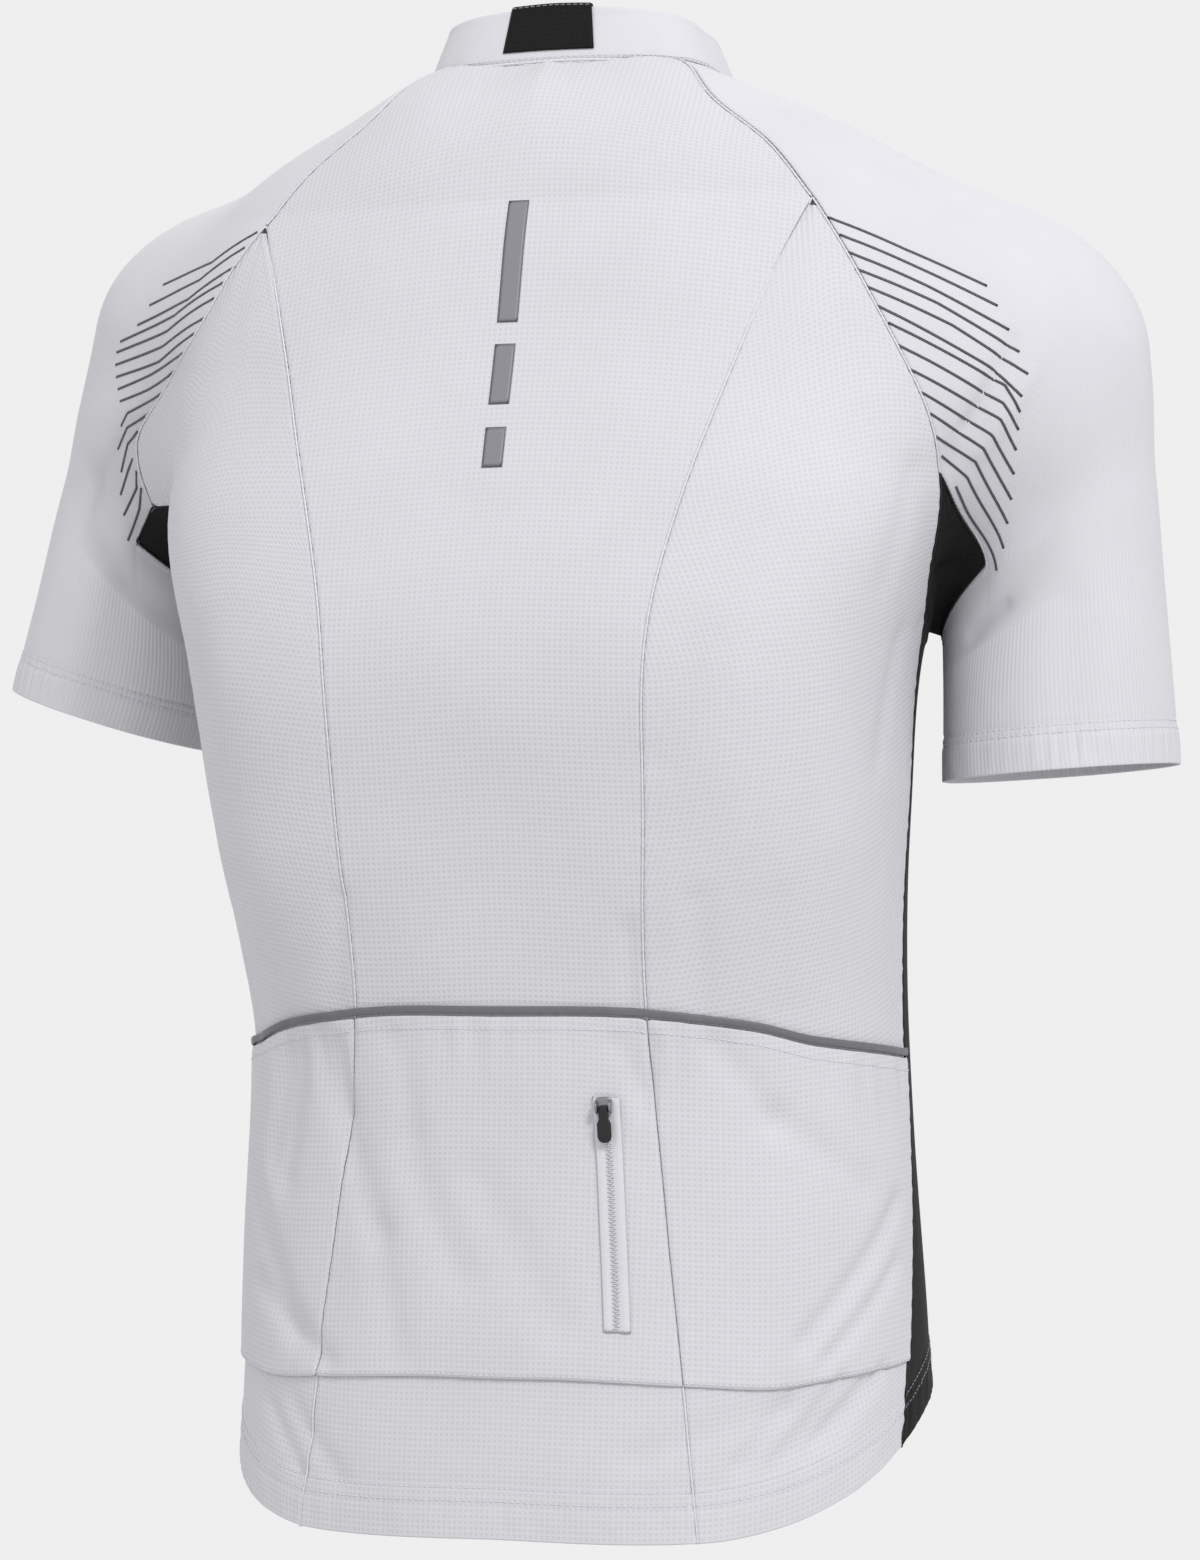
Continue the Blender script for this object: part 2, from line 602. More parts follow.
def sleeve_point(sleeve, along, angle):
    """Points of the sleeve's tube at distances along it and angles from straight back towards the torso."""
    shoulder, way, length = sleeve_axis(sleeve)
    inward = np.array([-sleeve["side"], 0.0, 0.0])
    inward = unit(inward - (inward @ way) * way)
    back = np.array([0.0, 1.0, 0.0])
    back = unit(back - (back @ way) * way)
    along, turn = np.broadcast_arrays(np.asarray(along, float), np.radians(angle))
    radius = (SLEEVE_TOP_RADIUS + (CUFF_RADIUS - SLEEVE_TOP_RADIUS) * along / length)[..., None]
    ring = np.cos(turn)[..., None] * back + np.sin(turn)[..., None] * inward
    return shoulder + along[..., None] * way + radius * ring


def joined(*lines):
    """Lines of points end to end, each later one without its first point."""
    return np.concatenate([lines[0]] + [line[1:] for line in lines[1:]])


def trimmed(line, start=0.0, end=0.0):
    """A line shortened by lengths at its start and end."""
    total = length_along(line, 0)[-1]
    return at_shares(line, np.linspace(start / total, 1 - end / total, len(line)))


def hem_arc(start, end, count=80):
    """The hem between two of its points."""
    line = round_point(HEM_HEIGHTS, np.linspace(angle_round(start), angle_round(end), count))
    line[0], line[-1] = start, end
    return line


SEAMS = {name: seams_of(name) for name in SLEEVES}


def grid_normals(grid, wraps):
    """Unit normals of a grid from the differences between neighbours, turned outwards."""
    if wraps:
        padded = np.concatenate([grid[:, -1:], grid, grid[:, :1]], axis=1)
        du = padded[:, 2:] - padded[:, :-2]
    else:
        du = np.gradient(grid, axis=1)
    normals = unit(np.cross(du, np.gradient(grid, axis=0)))
    middle = grid[len(grid) // 2, grid.shape[1] // 2]
    sign = np.sign(normals[len(grid) // 2, grid.shape[1] // 2] @ outward(middle))
    return normals * sign, sign


def shell_faces(rows, columns, wraps):
    """Faces of a closed sheet: an outer grid, an inner one turned over, and the same points along open edges."""
    wide = columns if wraps else columns - 1
    i, j = np.meshgrid(np.arange(rows - 1), np.arange(wide), indexing="ij")
    following = (j + 1) % columns
    outer = np.stack([i * columns + j, i * columns + following, (i + 1) * columns + following, (i + 1) * columns + j], -1)
    index = rows * columns + np.arange(rows * columns).reshape(rows, columns)
    border = np.zeros((rows, columns), bool)
    border[[0, -1]] = True
    if not wraps:
        border[:, [0, -1]] = True
    index[border] -= rows * columns
    inner = index.ravel()[outer][..., ::-1]
    corners = np.stack([i * (columns + 1) + j, i * (columns + 1) + j + 1, (i + 1) * (columns + 1) + j + 1, (i + 1) * (columns + 1) + j], -1)
    return np.concatenate([outer.reshape(-1, 4), inner.reshape(-1, 4)]), np.concatenate([corners.reshape(-1, 4), corners[..., ::-1].reshape(-1, 4)])


def closed_sheet(outer, thickness, wraps=False, normals=None):
    """Points and faces of a sheet with rounded edges. Near an open edge the thickness follows a quarter circle."""
    found, sign = grid_normals(outer, wraps)
    normals = found if normals is None else normals
    across, up = length_along(outer, 1), length_along(outer, 0)
    distance = np.minimum(up, up[-1:] - up)
    if not wraps:
        distance = np.minimum(distance, np.minimum(across, across[:, -1:] - across))
    roundness = np.clip(distance / (0.6 * thickness), 0, 1)
    wall = (thickness * np.sqrt(1 - (1 - roundness) ** 2))[..., None]
    middle = outer - normals * thickness / 2
    points = np.concatenate([(middle + normals * wall / 2).reshape(-1, 3), (middle - normals * wall / 2).reshape(-1, 3)])
    faces, corners = shell_faces(*outer.shape[:2], wraps)
    if sign < 0:
        faces, corners = faces[:, ::-1], corners[:, ::-1]
    return points, faces, corners


def in_triangles(points, faces, plane):
    """A part with its four-sided faces split along one diagonal."""
    if faces.shape[1] == 3:
        return points, faces, plane
    halves = ([0, 1, 2], [0, 2, 3])
    split = np.concatenate([faces[:, half] for half in halves])
    return points, split, None if plane is None else np.concatenate([plane[:, half] for half in halves])


def mesh_object(name, parts, material):
    """One object from parts of (points in millimetres, faces, plane coordinates of each face corner or None)."""
    points, faces, plane, start = [], [], [], 0
    if any(part[1].shape[1] == 3 for part in parts):
        parts = [in_triangles(*part) for part in parts]
    for part_points, part_faces, part_plane in parts:
        points.append(part_points)
        faces.append(part_faces + start)
        plane.append(np.zeros(part_faces.shape + (2,)) if part_plane is None else part_plane)
        start += len(part_points)
    points, faces, plane = np.concatenate(points), np.concatenate(faces), np.concatenate(plane)
    used, index = np.unique(faces, return_inverse=True)
    faces = index.reshape(faces.shape)
    sides = faces.shape[1]
    mesh = bpy.data.meshes.new(name)
    mesh.vertices.add(len(used))
    mesh.vertices.foreach_set("co", (points[used] * MM).astype(np.float32).ravel())
    mesh.loops.add(faces.size)
    mesh.loops.foreach_set("vertex_index", faces.astype(np.int32).ravel())
    mesh.polygons.add(len(faces))
    mesh.polygons.foreach_set("loop_start", np.arange(0, faces.size, sides, dtype=np.int32))
    mesh.polygons.foreach_set("use_smooth", np.ones(len(faces), bool))
    mesh.update(calc_edges=True)
    layer = mesh.uv_layers.new(name="cloth")
    layer.data.foreach_set("uv", (plane * MM).astype(np.float32).ravel())
    mesh.validate()
    mesh.materials.append(material)
    thing = bpy.data.objects.new(name, mesh)
    bpy.context.scene.collection.objects.link(thing)
    return thing


def seam_relief(distance, strength=1.0):
    """Cloth beside a seam: drawn in at the thread, with the raised roll of the seam allowance next to it."""
    roll = 0.3 * np.exp(-(((distance - 2.2) / 1.2) ** 2))
    return strength * (roll - 0.42 * np.exp(-distance / 3.2))


def hem_relief(distance, stitch_rows):
    """A turned and stitched hem: the doubled cloth stands out a little and is pinched along each row of stitches."""
    turned = 0.45 * smooth_step((max(stitch_rows) + 1.5 - distance) / 3)
    pinch = sum(0.6 * np.exp(-(((distance - row) / 1.2) ** 2)) for row in stitch_rows)
    return turned - pinch


def ripples(along, distance, pitch, reach):
    """Small uneven puckers square to a seam: two waves of unlike pitch that fade with distance from the seam."""
    wave = np.sin(2 * np.pi * along / pitch) + 0.6 * np.sin(2 * np.pi * along / (0.63 * pitch) + 1.3)
    return wave * np.exp(-((distance / reach) ** 2))


FACES = {}


def cloth_piece(name, node, grid, kinds, material, wall, wraps=False, stand=0.0, extra=None):
    """One cloth piece on its guide grid: relief, worked edges, wall, declaration as a sheet and the node it stands for."""
    across, up = length_along(grid, 1), length_along(grid, 0)
    distance = {"left": across, "right": across[:, -1:] - across, "bottom": up, "top": up[-1:] - up}
    run = {"left": up, "right": up, "bottom": across, "top": across}
    height = relief(grid) + stand
    for edge, kind in kinds.items():
        if kind == "seam":
            height += seam_relief(distance[edge]) + 0.14 * ripples(run[edge], distance[edge], 9.5, 7)
        elif kind:
            height += hem_relief(distance[edge], kind)
            height += 0.3 * ripples(run[edge], distance[edge] - 0.45 * max(kind), 7.3, 0.45 * max(kind))
    if extra is not None:
        height = height + extra(grid, distance)
    outer = grid + outward(grid) * height[..., None]
    points, faces, corners = closed_sheet(outer, wall, wraps)
    middle = across[:, across.shape[1] // 2][:, None]
    plane = np.stack([across - middle, up], axis=-1)
    last = plane[:, -1:] + (plane[:, -1:] - plane[:, -2:-1])
    plane = np.concatenate([plane, last], axis=1).reshape(-1, 2)
    piece = mesh_object(name, [(points, faces, plane[corners])], material)
    width = (across[len(across) // 2, -1] if wraps else across[:, -1].max()) * MM
    tall = up[-1].max() * MM
    width, tall = round(width + 0.002, 3), round(tall + 0.002, 3)
    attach(piece, GARMENT)
    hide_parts(node)
    FACES[node] = outer
    return piece


def row_of(grid, inset, from_end=False):
    """The line across a grid at a length in from its first row, or from its last."""
    run = length_along(grid, 0)
    if from_end:
        grid, run = grid[::-1], run[-1:] - run[::-1]
    i = np.clip((run <= inset).sum(axis=0) - 1, 0, len(grid) - 2)
    j = np.arange(grid.shape[1])
    share = ((inset - run[i, j]) / (run[i + 1, j] - run[i, j]))[:, None]
    return grid[i, j] * (1 - share) + grid[i + 1, j] * share


def stitch_row(line, ways=None, pitch=STITCH_PITCH, length=2.6, width=STITCH_WIDTH, lift=0.1, turn=0.0):
    """Small bars of thread at even steps of a line. Each is a square rod with pointed ends, turned in the cloth
    from the line's own way by an angle, and lies on the surface whose outward ways are given."""
    total = length_along(line, 0)[-1]
    shares = (np.arange(int(total / pitch)) + 0.5) * pitch / total
    place = at_shares(line, shares)
    along = unit(at_shares(line, np.minimum(shares + 0.5 / total, 1)) - at_shares(line, shares - 0.5 / total))
    out = outward(place) if ways is None else unit(at_shares(ways, shares))
    out = unit(out - along * (out * along).sum(-1, keepdims=True))
    side = np.cross(out, along)
    along, side = along * math.cos(turn) + side * math.sin(turn), side * math.cos(turn) - along * math.sin(turn)
    ring = np.array([(0.5, 0), (0, 0.5), (-0.5, 0), (0, -0.5)]) * width
    shape = np.array(
        [(0.32 * end * length, *corner) for end in (-1, 1) for corner in ring]
        + [(-0.5 * length, 0, 0), (0.5 * length, 0, 0)]
    )
    points = (
        place[:, None] + shape[:, 0, None] * along[:, None] + shape[:, 1, None] * side[:, None]
        + (shape[:, 2, None] + lift) * out[:, None]
    )
    k = np.arange(4)
    after = (k + 1) % 4
    faces = np.concatenate([
        np.stack([k, after, after + 4], -1), np.stack([k, after + 4, k + 4], -1),
        np.stack([after, k, np.full(4, 8)], -1), np.stack([k + 4, after + 4, np.full(4, 9)], -1),
    ])
    return points.reshape(-1, 3), (faces + 10 * np.arange(len(place))[:, None, None]).reshape(-1, 3), None


def swept(middle, across, out, half_widths, half_depths, count=12, square=2.0):
    """A closed form round a line of middles: every section is a rounded square of powers, and its ends are closed."""
    turn = 2 * np.pi * np.arange(count) / count
    wide = np.sign(np.cos(turn)) * np.abs(np.cos(turn)) ** (2 / square)
    deep = np.sign(np.sin(turn)) * np.abs(np.sin(turn)) ** (2 / square)
    rings = (
        middle[:, None] + across[:, None] * (half_widths[:, None] * wide)[..., None]
        + out[:, None] * (half_depths[:, None] * deep)[..., None]
    )
    points = np.concatenate([rings.reshape(-1, 3), middle[[0, -1]]])
    rows = len(middle)
    i, j = (part.ravel() for part in np.meshgrid(np.arange(rows - 1), np.arange(count), indexing="ij"))
    after = (j + 1) % count
    k = np.arange(count)
    round_k = (k + 1) % count
    last = (rows - 1) * count
    faces = np.concatenate([
        np.stack([i * count + j, i * count + after, (i + 1) * count + after], -1),
        np.stack([i * count + j, (i + 1) * count + after, (i + 1) * count + j], -1),
        np.stack([round_k, k, np.full(count, rows * count)], -1),
        np.stack([last + k, last + round_k, np.full(count, rows * count + 1)], -1),
    ])
    forward = (np.cross(across[0], out[0]) * (middle[-1] - middle[0])).sum() > 0
    return points, faces if forward else faces[:, ::-1], None


def thread_line(line, radius=0.6, lift=-0.05):
    """The overlocking thread along a seam: a round cord, a little thicker once every stitch."""
    total = length_along(line, 0)[-1]
    count = max(int(total / 0.9), 8)
    place = at_shares(line, np.linspace(0, 1, count))
    out = outward(place)
    along = unit(np.gradient(place, axis=0))
    out = unit(out - along * (out * along).sum(-1, keepdims=True))
    swell = radius * (0.86 + 0.14 * np.sin(2 * np.pi * np.linspace(0, total, count) / 2.8))
    swell[[0, -1]] = 0.05
    place = place + out * (relief(place) + lift)[:, None]
    return swept(place, np.cross(out, along), out, swell, swell, count=6)


def trim_object(name, parts, material, body=GARMENT, node=None):
    """One trim made of parts: an object that rides on a body, takes its finish from a slot and may stand for a node."""
    piece = mesh_object(name, parts, material)
    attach(piece, body)
    if node:
        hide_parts(node)
    return piece


def away_from(p, line):
    """Distance of points from the nearest point of a line."""
    return np.linalg.norm(p[..., None, :] - line, axis=-1).min(axis=-1)


# Materials
def linear(hex_colour):
    """A colour given as sRGB hex, as the linear values that shaders take."""
    values = [int(hex_colour[i:i + 2], 16) / 255 for i in (1, 3, 5)]
    return tuple(v / 12.92 if v <= 0.04045 else ((v + 0.055) / 1.055) ** 2.4 for v in values)


def tinted(colour, factor):
    """A colour made lighter or darker by a factor, with full cover."""
    return tuple(min(1.0, factor * v) for v in tuple(colour)[:3]) + (1.0,)


def add_node(material, kind, inputs=None, **settings):
    """Adds one node, sets its options, and sets or links its inputs: a socket links, anything else is a value."""
    made = material.node_tree.nodes.new(kind)
    for key, value in settings.items():
        setattr(made, key, value)
    for key, value in (inputs or {}).items():
        if isinstance(value, bpy.types.NodeSocket):
            material.node_tree.links.new(value, made.inputs[key])
        else:
            made.inputs[key].default_value = value
    return made


def new_material(name):
    """An empty node material with its shader and the shader itself."""
    material = bpy.data.materials.new(name)
    material.use_nodes = True
    return material, material.node_tree.nodes["Principled BSDF"]


def knit_material(name, colour, dimple, pitch_x, pitch_y, depth, roughness=0.86, sheen=0.08):
    """Fine filament knit. The higher of two sine waves across the cloth's plane leaves a square of dimples between
    raised loops, one wave alone leaves ribs. Dimples are a little darker than loops, and there is a soft sheen."""
    material, shader = new_material(name)
    plane = add_node(material, "ShaderNodeUVMap", uv_map="cloth").outputs[0]
    turns = add_node(
        material, "ShaderNodeVectorMath",
        {0: plane, 1: (2 * math.pi / pitch_x, 2 * math.pi / pitch_y if pitch_y else 0, 0)}, operation="MULTIPLY",
    )
    wave = add_node(material, "ShaderNodeVectorMath", {0: turns.outputs[0]}, operation="SINE")
    parts = add_node(material, "ShaderNodeSeparateXYZ", {0: wave.outputs[0]})
    if pitch_y:
        height = add_node(
            material, "ShaderNodeMath", {0: parts.outputs[0], 1: parts.outputs[1]}, operation="MAXIMUM",
        ).outputs[0]
    else:
        height = parts.outputs[0]
    share = add_node(
        material, "ShaderNodeMapRange", {"Value": height, "From Min": -1.0, "From Max": 1.0, "To Min": 0.0, "To Max": 1.0},
    ).outputs[0]
    place = add_node(material, "ShaderNodeTexCoord").outputs["Object"]
    slow = add_node(material, "ShaderNodeTexNoise", {"Vector": place, "Scale": 30.0, "Detail": 2.0}).outputs[0]
    mixed = add_node(
        material, "ShaderNodeMix", {0: share, 6: tinted(colour, dimple), 7: tinted(colour, 1.0)}, data_type="RGBA",
    ).outputs[2]
    tone = add_node(
        material, "ShaderNodeMapRange", {"Value": slow, "To Min": 0.97, "To Max": 1.03},
    ).outputs[0]
    toned = add_node(
        material, "ShaderNodeVectorMath", {0: mixed, 3: tone}, operation="SCALE",
    ).outputs[0]
    material.node_tree.links.new(toned, shader.inputs["Base Color"])
    bump = add_node(material, "ShaderNodeBump", {"Height": share, "Distance": depth * MM, "Strength": 0.6})
    material.node_tree.links.new(bump.outputs[0], shader.inputs["Normal"])
    shader.inputs["Roughness"].default_value = roughness
    shader.inputs["Sheen Weight"].default_value = sheen
    shader.inputs["Sheen Roughness"].default_value = 0.5
    shader.inputs["Specular IOR Level"].default_value = 0.25
    return material


def plain_material(name, colour, roughness, metallic=0.0, grain=None, sheen=0.0):
    """A material of one colour with a fine uneven surface from noise of a given grain in millimetres."""
    material, shader = new_material(name)
    shader.inputs["Roughness"].default_value = roughness
    shader.inputs["Metallic"].default_value = metallic
    shader.inputs["Sheen Weight"].default_value = sheen
    place = add_node(material, "ShaderNodeTexCoord").outputs["Object"]
    noise = add_node(material, "ShaderNodeTexNoise", {"Vector": place, "Scale": 1 / (grain * MM), "Detail": 3.0})
    tone = add_node(
        material, "ShaderNodeMix",
        {0: noise.outputs[0], 6: tinted(colour, 0.94), 7: tinted(colour, 1.14)},
        data_type="RGBA",
    )
    material.node_tree.links.new(tone.outputs[2], shader.inputs["Base Color"])
    bump = add_node(material, "ShaderNodeBump", {"Height": noise.outputs[0], "Distance": 0.1 * MM, "Strength": 0.3})
    material.node_tree.links.new(bump.outputs[0], shader.inputs["Normal"])
    return material


def colour_property(name, description, hex_colour):
    """A colour setting with its default given as sRGB hex."""
    return bpy.props.FloatVectorProperty(
        name=name, description=description, default=linear(hex_colour), size=3, subtype="COLOR", min=0.0, max=1.0,
    )


class JerseySettings(bpy.types.PropertyGroup):
    """Sizes and colours of the jersey."""

    cloth_thickness: bpy.props.FloatProperty(
        name="Cloth", description="Thickness of the knit as drawn", default=1.0 * MM, unit="LENGTH",
    )
    collar_thickness: bpy.props.FloatProperty(
        name="Collar cloth", description="Thickness of the doubled collar", default=1.8 * MM, unit="LENGTH",
    )
    dimple_pitch: bpy.props.FloatProperty(
        name="Dimple pitch", description="Distance between dimples of the back's knit", default=2.6 * MM, unit="LENGTH",
    )
    rib_pitch: bpy.props.FloatProperty(
        name="Rib pitch", description="Distance between ribs of the sleeve's knit", default=2.2 * MM, unit="LENGTH",
    )
    pale_colour: colour_property("Pale knit", "Colour of the back, fronts, sleeves and pockets", "#cacacf")
    black_colour: colour_property("Dark knit", "Colour of the side panels, gussets and tab", "#0d0c0c")
    bar_colour: colour_property("Bars", "Colour of the reflective bars down the back", "#7a7980")
    line_colour: colour_property("Lines", "Colour of the thin lines on the sleeves", "#47474c")
    edging_colour: colour_property("Edging", "Colour of the reflective edging on the pocket mouths", "#626267")
    thread_colour: colour_property("Thread", "Colour of the sewing thread on the pale knit", "#cdcdd2")
    metal_colour: colour_property("Slider metal", "Colour of the zip sliders", "#8d8e92")


MATERIALS = {}


def make_materials(settings):
    """All the finishes, from what each real one is.

    The knits are drawn about one and a half times as coarse as the real 1.5 mm dimples and ribs, because finer
    ones don't show in the render."""
    dimple, rib = settings.dimple_pitch, settings.rib_pitch
    pale, black, thread = settings.pale_colour, settings.black_colour, settings.thread_colour
    # Birdseye knit: rows of small dimples between raised loops, with hardly any gloss
    MATERIALS["body knit"] = knit_material("birdseye polyester knit", pale, 0.9, dimple, dimple, 0.25)
    # Fine ribs down the sleeve, a smoother face
    MATERIALS["sleeve knit"] = knit_material("ribbed polyester jersey", tinted(pale, 1.03), 0.94, rib, 0, 0.16)
    # Open mesh dyed black, which drinks most of the light
    MATERIALS["black knit"] = knit_material("black polyester mesh", black, 0.5, dimple, dimple, 0.3, 0.8, 0.02)
    # Film with glass beads: an even grey with a slight gloss
    MATERIALS["reflective film"] = plain_material("reflective transfer film", settings.bar_colour, 0.45, grain=0.6)
    MATERIALS["print ink"] = plain_material("grey reflective ink", settings.line_colour, 0.5, grain=0.6)
    MATERIALS["reflective tape"] = plain_material("reflective woven edging", settings.edging_colour, 0.5, grain=1.2)
    # Spun polyester thread, matt
    MATERIALS["thread"] = plain_material("polyester sewing thread", thread, 0.7, grain=0.8)
    MATERIALS["dark thread"] = plain_material("black polyester sewing thread", black, 0.7, grain=0.8)
    MATERIALS["grey thread"] = plain_material("grey polyester sewing thread", settings.bar_colour, 0.6, grain=0.8)
    # Tape woven from the same yarn as the cloth, and a coil of clear nylon
    MATERIALS["tape"] = plain_material("woven zip tape", tinted(pale, 0.97), 0.7, grain=0.9)
    MATERIALS["coil"] = plain_material("nylon zip coil", tinted(pale, 0.9), 0.4, grain=1.0)
    # Tumbled zinc casting under a satin plating
    MATERIALS["metal"] = plain_material("die-cast zinc slider", settings.metal_colour, 0.32, metallic=1.0, grain=1.5)
    # Soft moulded plastic, matt black
    MATERIALS["rubber"] = plain_material("soft moulded pull", black, 0.55, grain=1.5)


class JERSEY_OT_back(bpy.types.Operator):
    """Makes the three back panels."""

    bl_idname = "jersey.back"
    bl_label = "Back panels"

    def execute(self, context):
        wall = context.scene.jersey.cloth_thickness / MM
        left, right = SEAMS["left"], SEAMS["right"]
        neck = neck_point(np.linspace(BACK_NECK_HALF_ANGLE, -BACK_NECK_HALF_ANGLE, 80))
        edges = [joined(s["back"], s["raglan_upper"][::-1]) for s in (left, right)]
        up = edge_shares(length_along(edges[0], 0)[-1])
        grid = patch(edges[0], edges[1], hem_arc(edges[0][0], edges[1][0]), neck, edge_shares(190), up)
        kinds = {"left": "seam", "right": "seam", "top": "seam", "bottom": HEM_ROWS}
        cloth_piece("back_centre_cloth", "back_centre", grid, kinds, MATERIALS["body knit"], wall)
        for name, s in SEAMS.items():
            inner = trimmed(s["back"], end=5)
            outer = trimmed(joined(s["side_back"], s["gusset_back"], s["raglan_lower"][::-1]), end=5)
            top = np.linspace(inner[-1], outer[-1], 20)
            up = edge_shares(length_along(inner, 0)[-1])
            grid = patch(inner, outer, hem_arc(inner[0], outer[0]), top, edge_shares(105), up)
            kinds = {"left": "seam", "right": "seam", "top": None, "bottom": HEM_ROWS}
            cloth_piece(f"back_{name}_cloth", f"back_{name}", grid, kinds, MATERIALS["body knit"], wall)
        return {"FINISHED"}


class JERSEY_OT_sides(bpy.types.Operator):
    """Makes the dark side panels and the underarm gussets."""

    bl_idname = "jersey.sides"
    bl_label = "Side panels and gussets"

    def execute(self, context):
        wall = context.scene.jersey.cloth_thickness / MM
        for name, s in SEAMS.items():
            hem = hem_arc(s["side_back"][0], s["side_front"][0])
            up = edge_shares(length_along(s["side_back"], 0)[-1])
            grid = patch(s["side_back"], s["side_front"], hem, s["panel_top"], edge_shares(85), up)
            kinds = {"left": "seam", "right": "seam", "top": "seam", "bottom": HEM_ROWS}
            cloth_piece(f"side_{name}_cloth", f"side_{name}", grid, kinds, MATERIALS["black knit"], wall)
            torso = trimmed(joined(s["gusset_back"][::-1], s["panel_top"], s["gusset_front"]), 4, 4)
            arm = trimmed(joined(*s["arm_edge"]), 4, 4)
            ends = [np.linspace(torso[k], arm[k], 12) for k in (0, -1)]
            up = edge_shares(length_along(arm, 0)[-1], step=2.5)
            grid = patch(torso, arm, ends[0], ends[1], edge_shares(30, step=2.5), up)
            kinds = {"left": "seam", "right": "seam"}
            cloth_piece(f"gusset_{name}_cloth", f"gusset_{name}", grid, kinds, MATERIALS["black knit"], wall)
        return {"FINISHED"}


def front_grid(s):
    """Guide grid of one front, from the zip to the side seam, gusset and raglan seam."""
    outer = joined(s["side_front"], s["gusset_front"], s["raglan_front"][::-1])
    edge = FRONT_ZIP_WIDTH / 2 + 0.2
    neck_angle = s["side"] * (180 - neck_angle_at(edge))
    neck = neck_point(np.linspace(neck_angle, s["side"] * FRONT_NECK_ANGLE, 60))
    heights = np.linspace(HEM_HEIGHTS["z"][-1], neck[0, 2], 120)
    middle = on_torso(np.full(120, s["side"] * edge), heights, -1)
    middle[-1] = neck[0]
    up = edge_shares(length_along(middle, 0)[-1])
    return patch(middle, outer, hem_arc(middle[0], outer[0]), neck, edge_shares(150), up)


class JERSEY_OT_fronts(bpy.types.Operator):
    """Makes the two fronts."""

    bl_idname = "jersey.fronts"
    bl_label = "Fronts"

    def execute(self, context):
        wall = context.scene.jersey.cloth_thickness / MM
        for name, s in SEAMS.items():
            kinds = {"left": "seam", "right": "seam", "top": "seam", "bottom": HEM_ROWS}
            cloth_piece(f"front_{name}_cloth", f"front_{name}", front_grid(s), kinds, MATERIALS["body knit"], wall)
        return {"FINISHED"}


def sleeve_grid(s):
    """Guide grid of a sleeve: straight ways from the armhole loop to a ring round the arm, lifted over the cap,
    and from that ring down the tube to the tilted cuff."""
    arm = s["arm_edge"]
    neck = neck_point(np.linspace(s["side"] * BACK_NECK_HALF_ANGLE, s["side"] * FRONT_NECK_ANGLE, 60))
    parts = [
        (arm[1][::-1], 2), (arm[0][::-1], 2), (s["raglan_lower"][::-1], LOOP_STEPS["lower"]),
        (s["raglan_upper"][::-1], LOOP_STEPS["upper"]), (neck, LOOP_STEPS["neck"]),
        (s["raglan_front"], LOOP_STEPS["front"]), (arm[3][::-1], 2), (arm[2][::-1], 2),
    ]
    starts, steps, done = [], [], 0
    for line, count in parts:
        shares = np.linspace(0, 1, max(int(length_along(line, 0)[-1] / GRID_STEP), 4) + 1)[:-1]
        starts.append(at_shares(line, shares))
        steps.append(done + shares * count)
        done += count
    starts, steps = np.concatenate(starts), np.concatenate(steps)
    front = LOOP_STEPS["gusset"] + LOOP_STEPS["lower"] + LOOP_STEPS["upper"] + LOOP_STEPS["neck"]
    back = front - LOOP_STEPS["neck"]
    low = front + LOOP_STEPS["front"]
    turns = [
        (0, 90), (1, 56), (2, 26), (3, 2), (4, -10), (back, -75), (front, -105), (low, -184),
        (low + 1, -194), (low + 2, -210), (low + 3, -238), (low + 4, -270),
    ]
    angle = np.interp(steps, *zip(*turns))
    share = 0.5 + 0.5 * np.sin(np.radians(angle))
    ring_along = 84 + 62 * share
    ring = sleeve_point(s["sleeve"], ring_along, angle)
    length = sleeve_axis(s["sleeve"])[2]
    across_tilt, back_tilt = s["sleeve"]["tilt"]
    tilt = back_tilt * np.cos(np.radians(angle)) + across_tilt * np.sin(np.radians(angle))
    cuff_along = length + CUFF_RADIUS * tilt
    rise = math.radians(CAP_RISE)
    cap_way = np.array([s["side"] * math.cos(rise), 0, math.sin(rise)])
    near = np.array([0.12, 0.7, 1.4, 2.4, 4.0, 6.5]) / 90
    t = np.concatenate([near, np.linspace(near[-1], 1, CAP_ROWS)[1:]])[:, None]
    distance = np.linalg.norm(starts - ring, axis=-1)
    bulge = CAP_BULGE * distance * (1 - share) * 4 * t * (1 - t)
    cap = starts * (1 - t[..., None]) + ring * t[..., None] + bulge[..., None] * cap_way
    down = edge_shares(160, start=False)[1:, None]
    tube = sleeve_point(s["sleeve"], ring_along + (cuff_along - ring_along) * down, np.broadcast_to(angle, (len(down), len(angle))))
    return np.concatenate([on_cloth(cap), onto_body(tube)])


class JERSEY_OT_sleeves(bpy.types.Operator):
    """Makes the two raglan sleeves."""

    bl_idname = "jersey.sleeves"
    bl_label = "Sleeves"

    def execute(self, context):
        wall = context.scene.jersey.cloth_thickness / MM
        for name, s in SEAMS.items():
            kinds = {"bottom": "seam", "top": CUFF_ROWS}
            cloth_piece(
                f"sleeve_{name}_cloth", f"sleeve_{name}", sleeve_grid(s), kinds, MATERIALS["sleeve knit"],
                wall, wraps=True,
            )
        return {"FINISHED"}


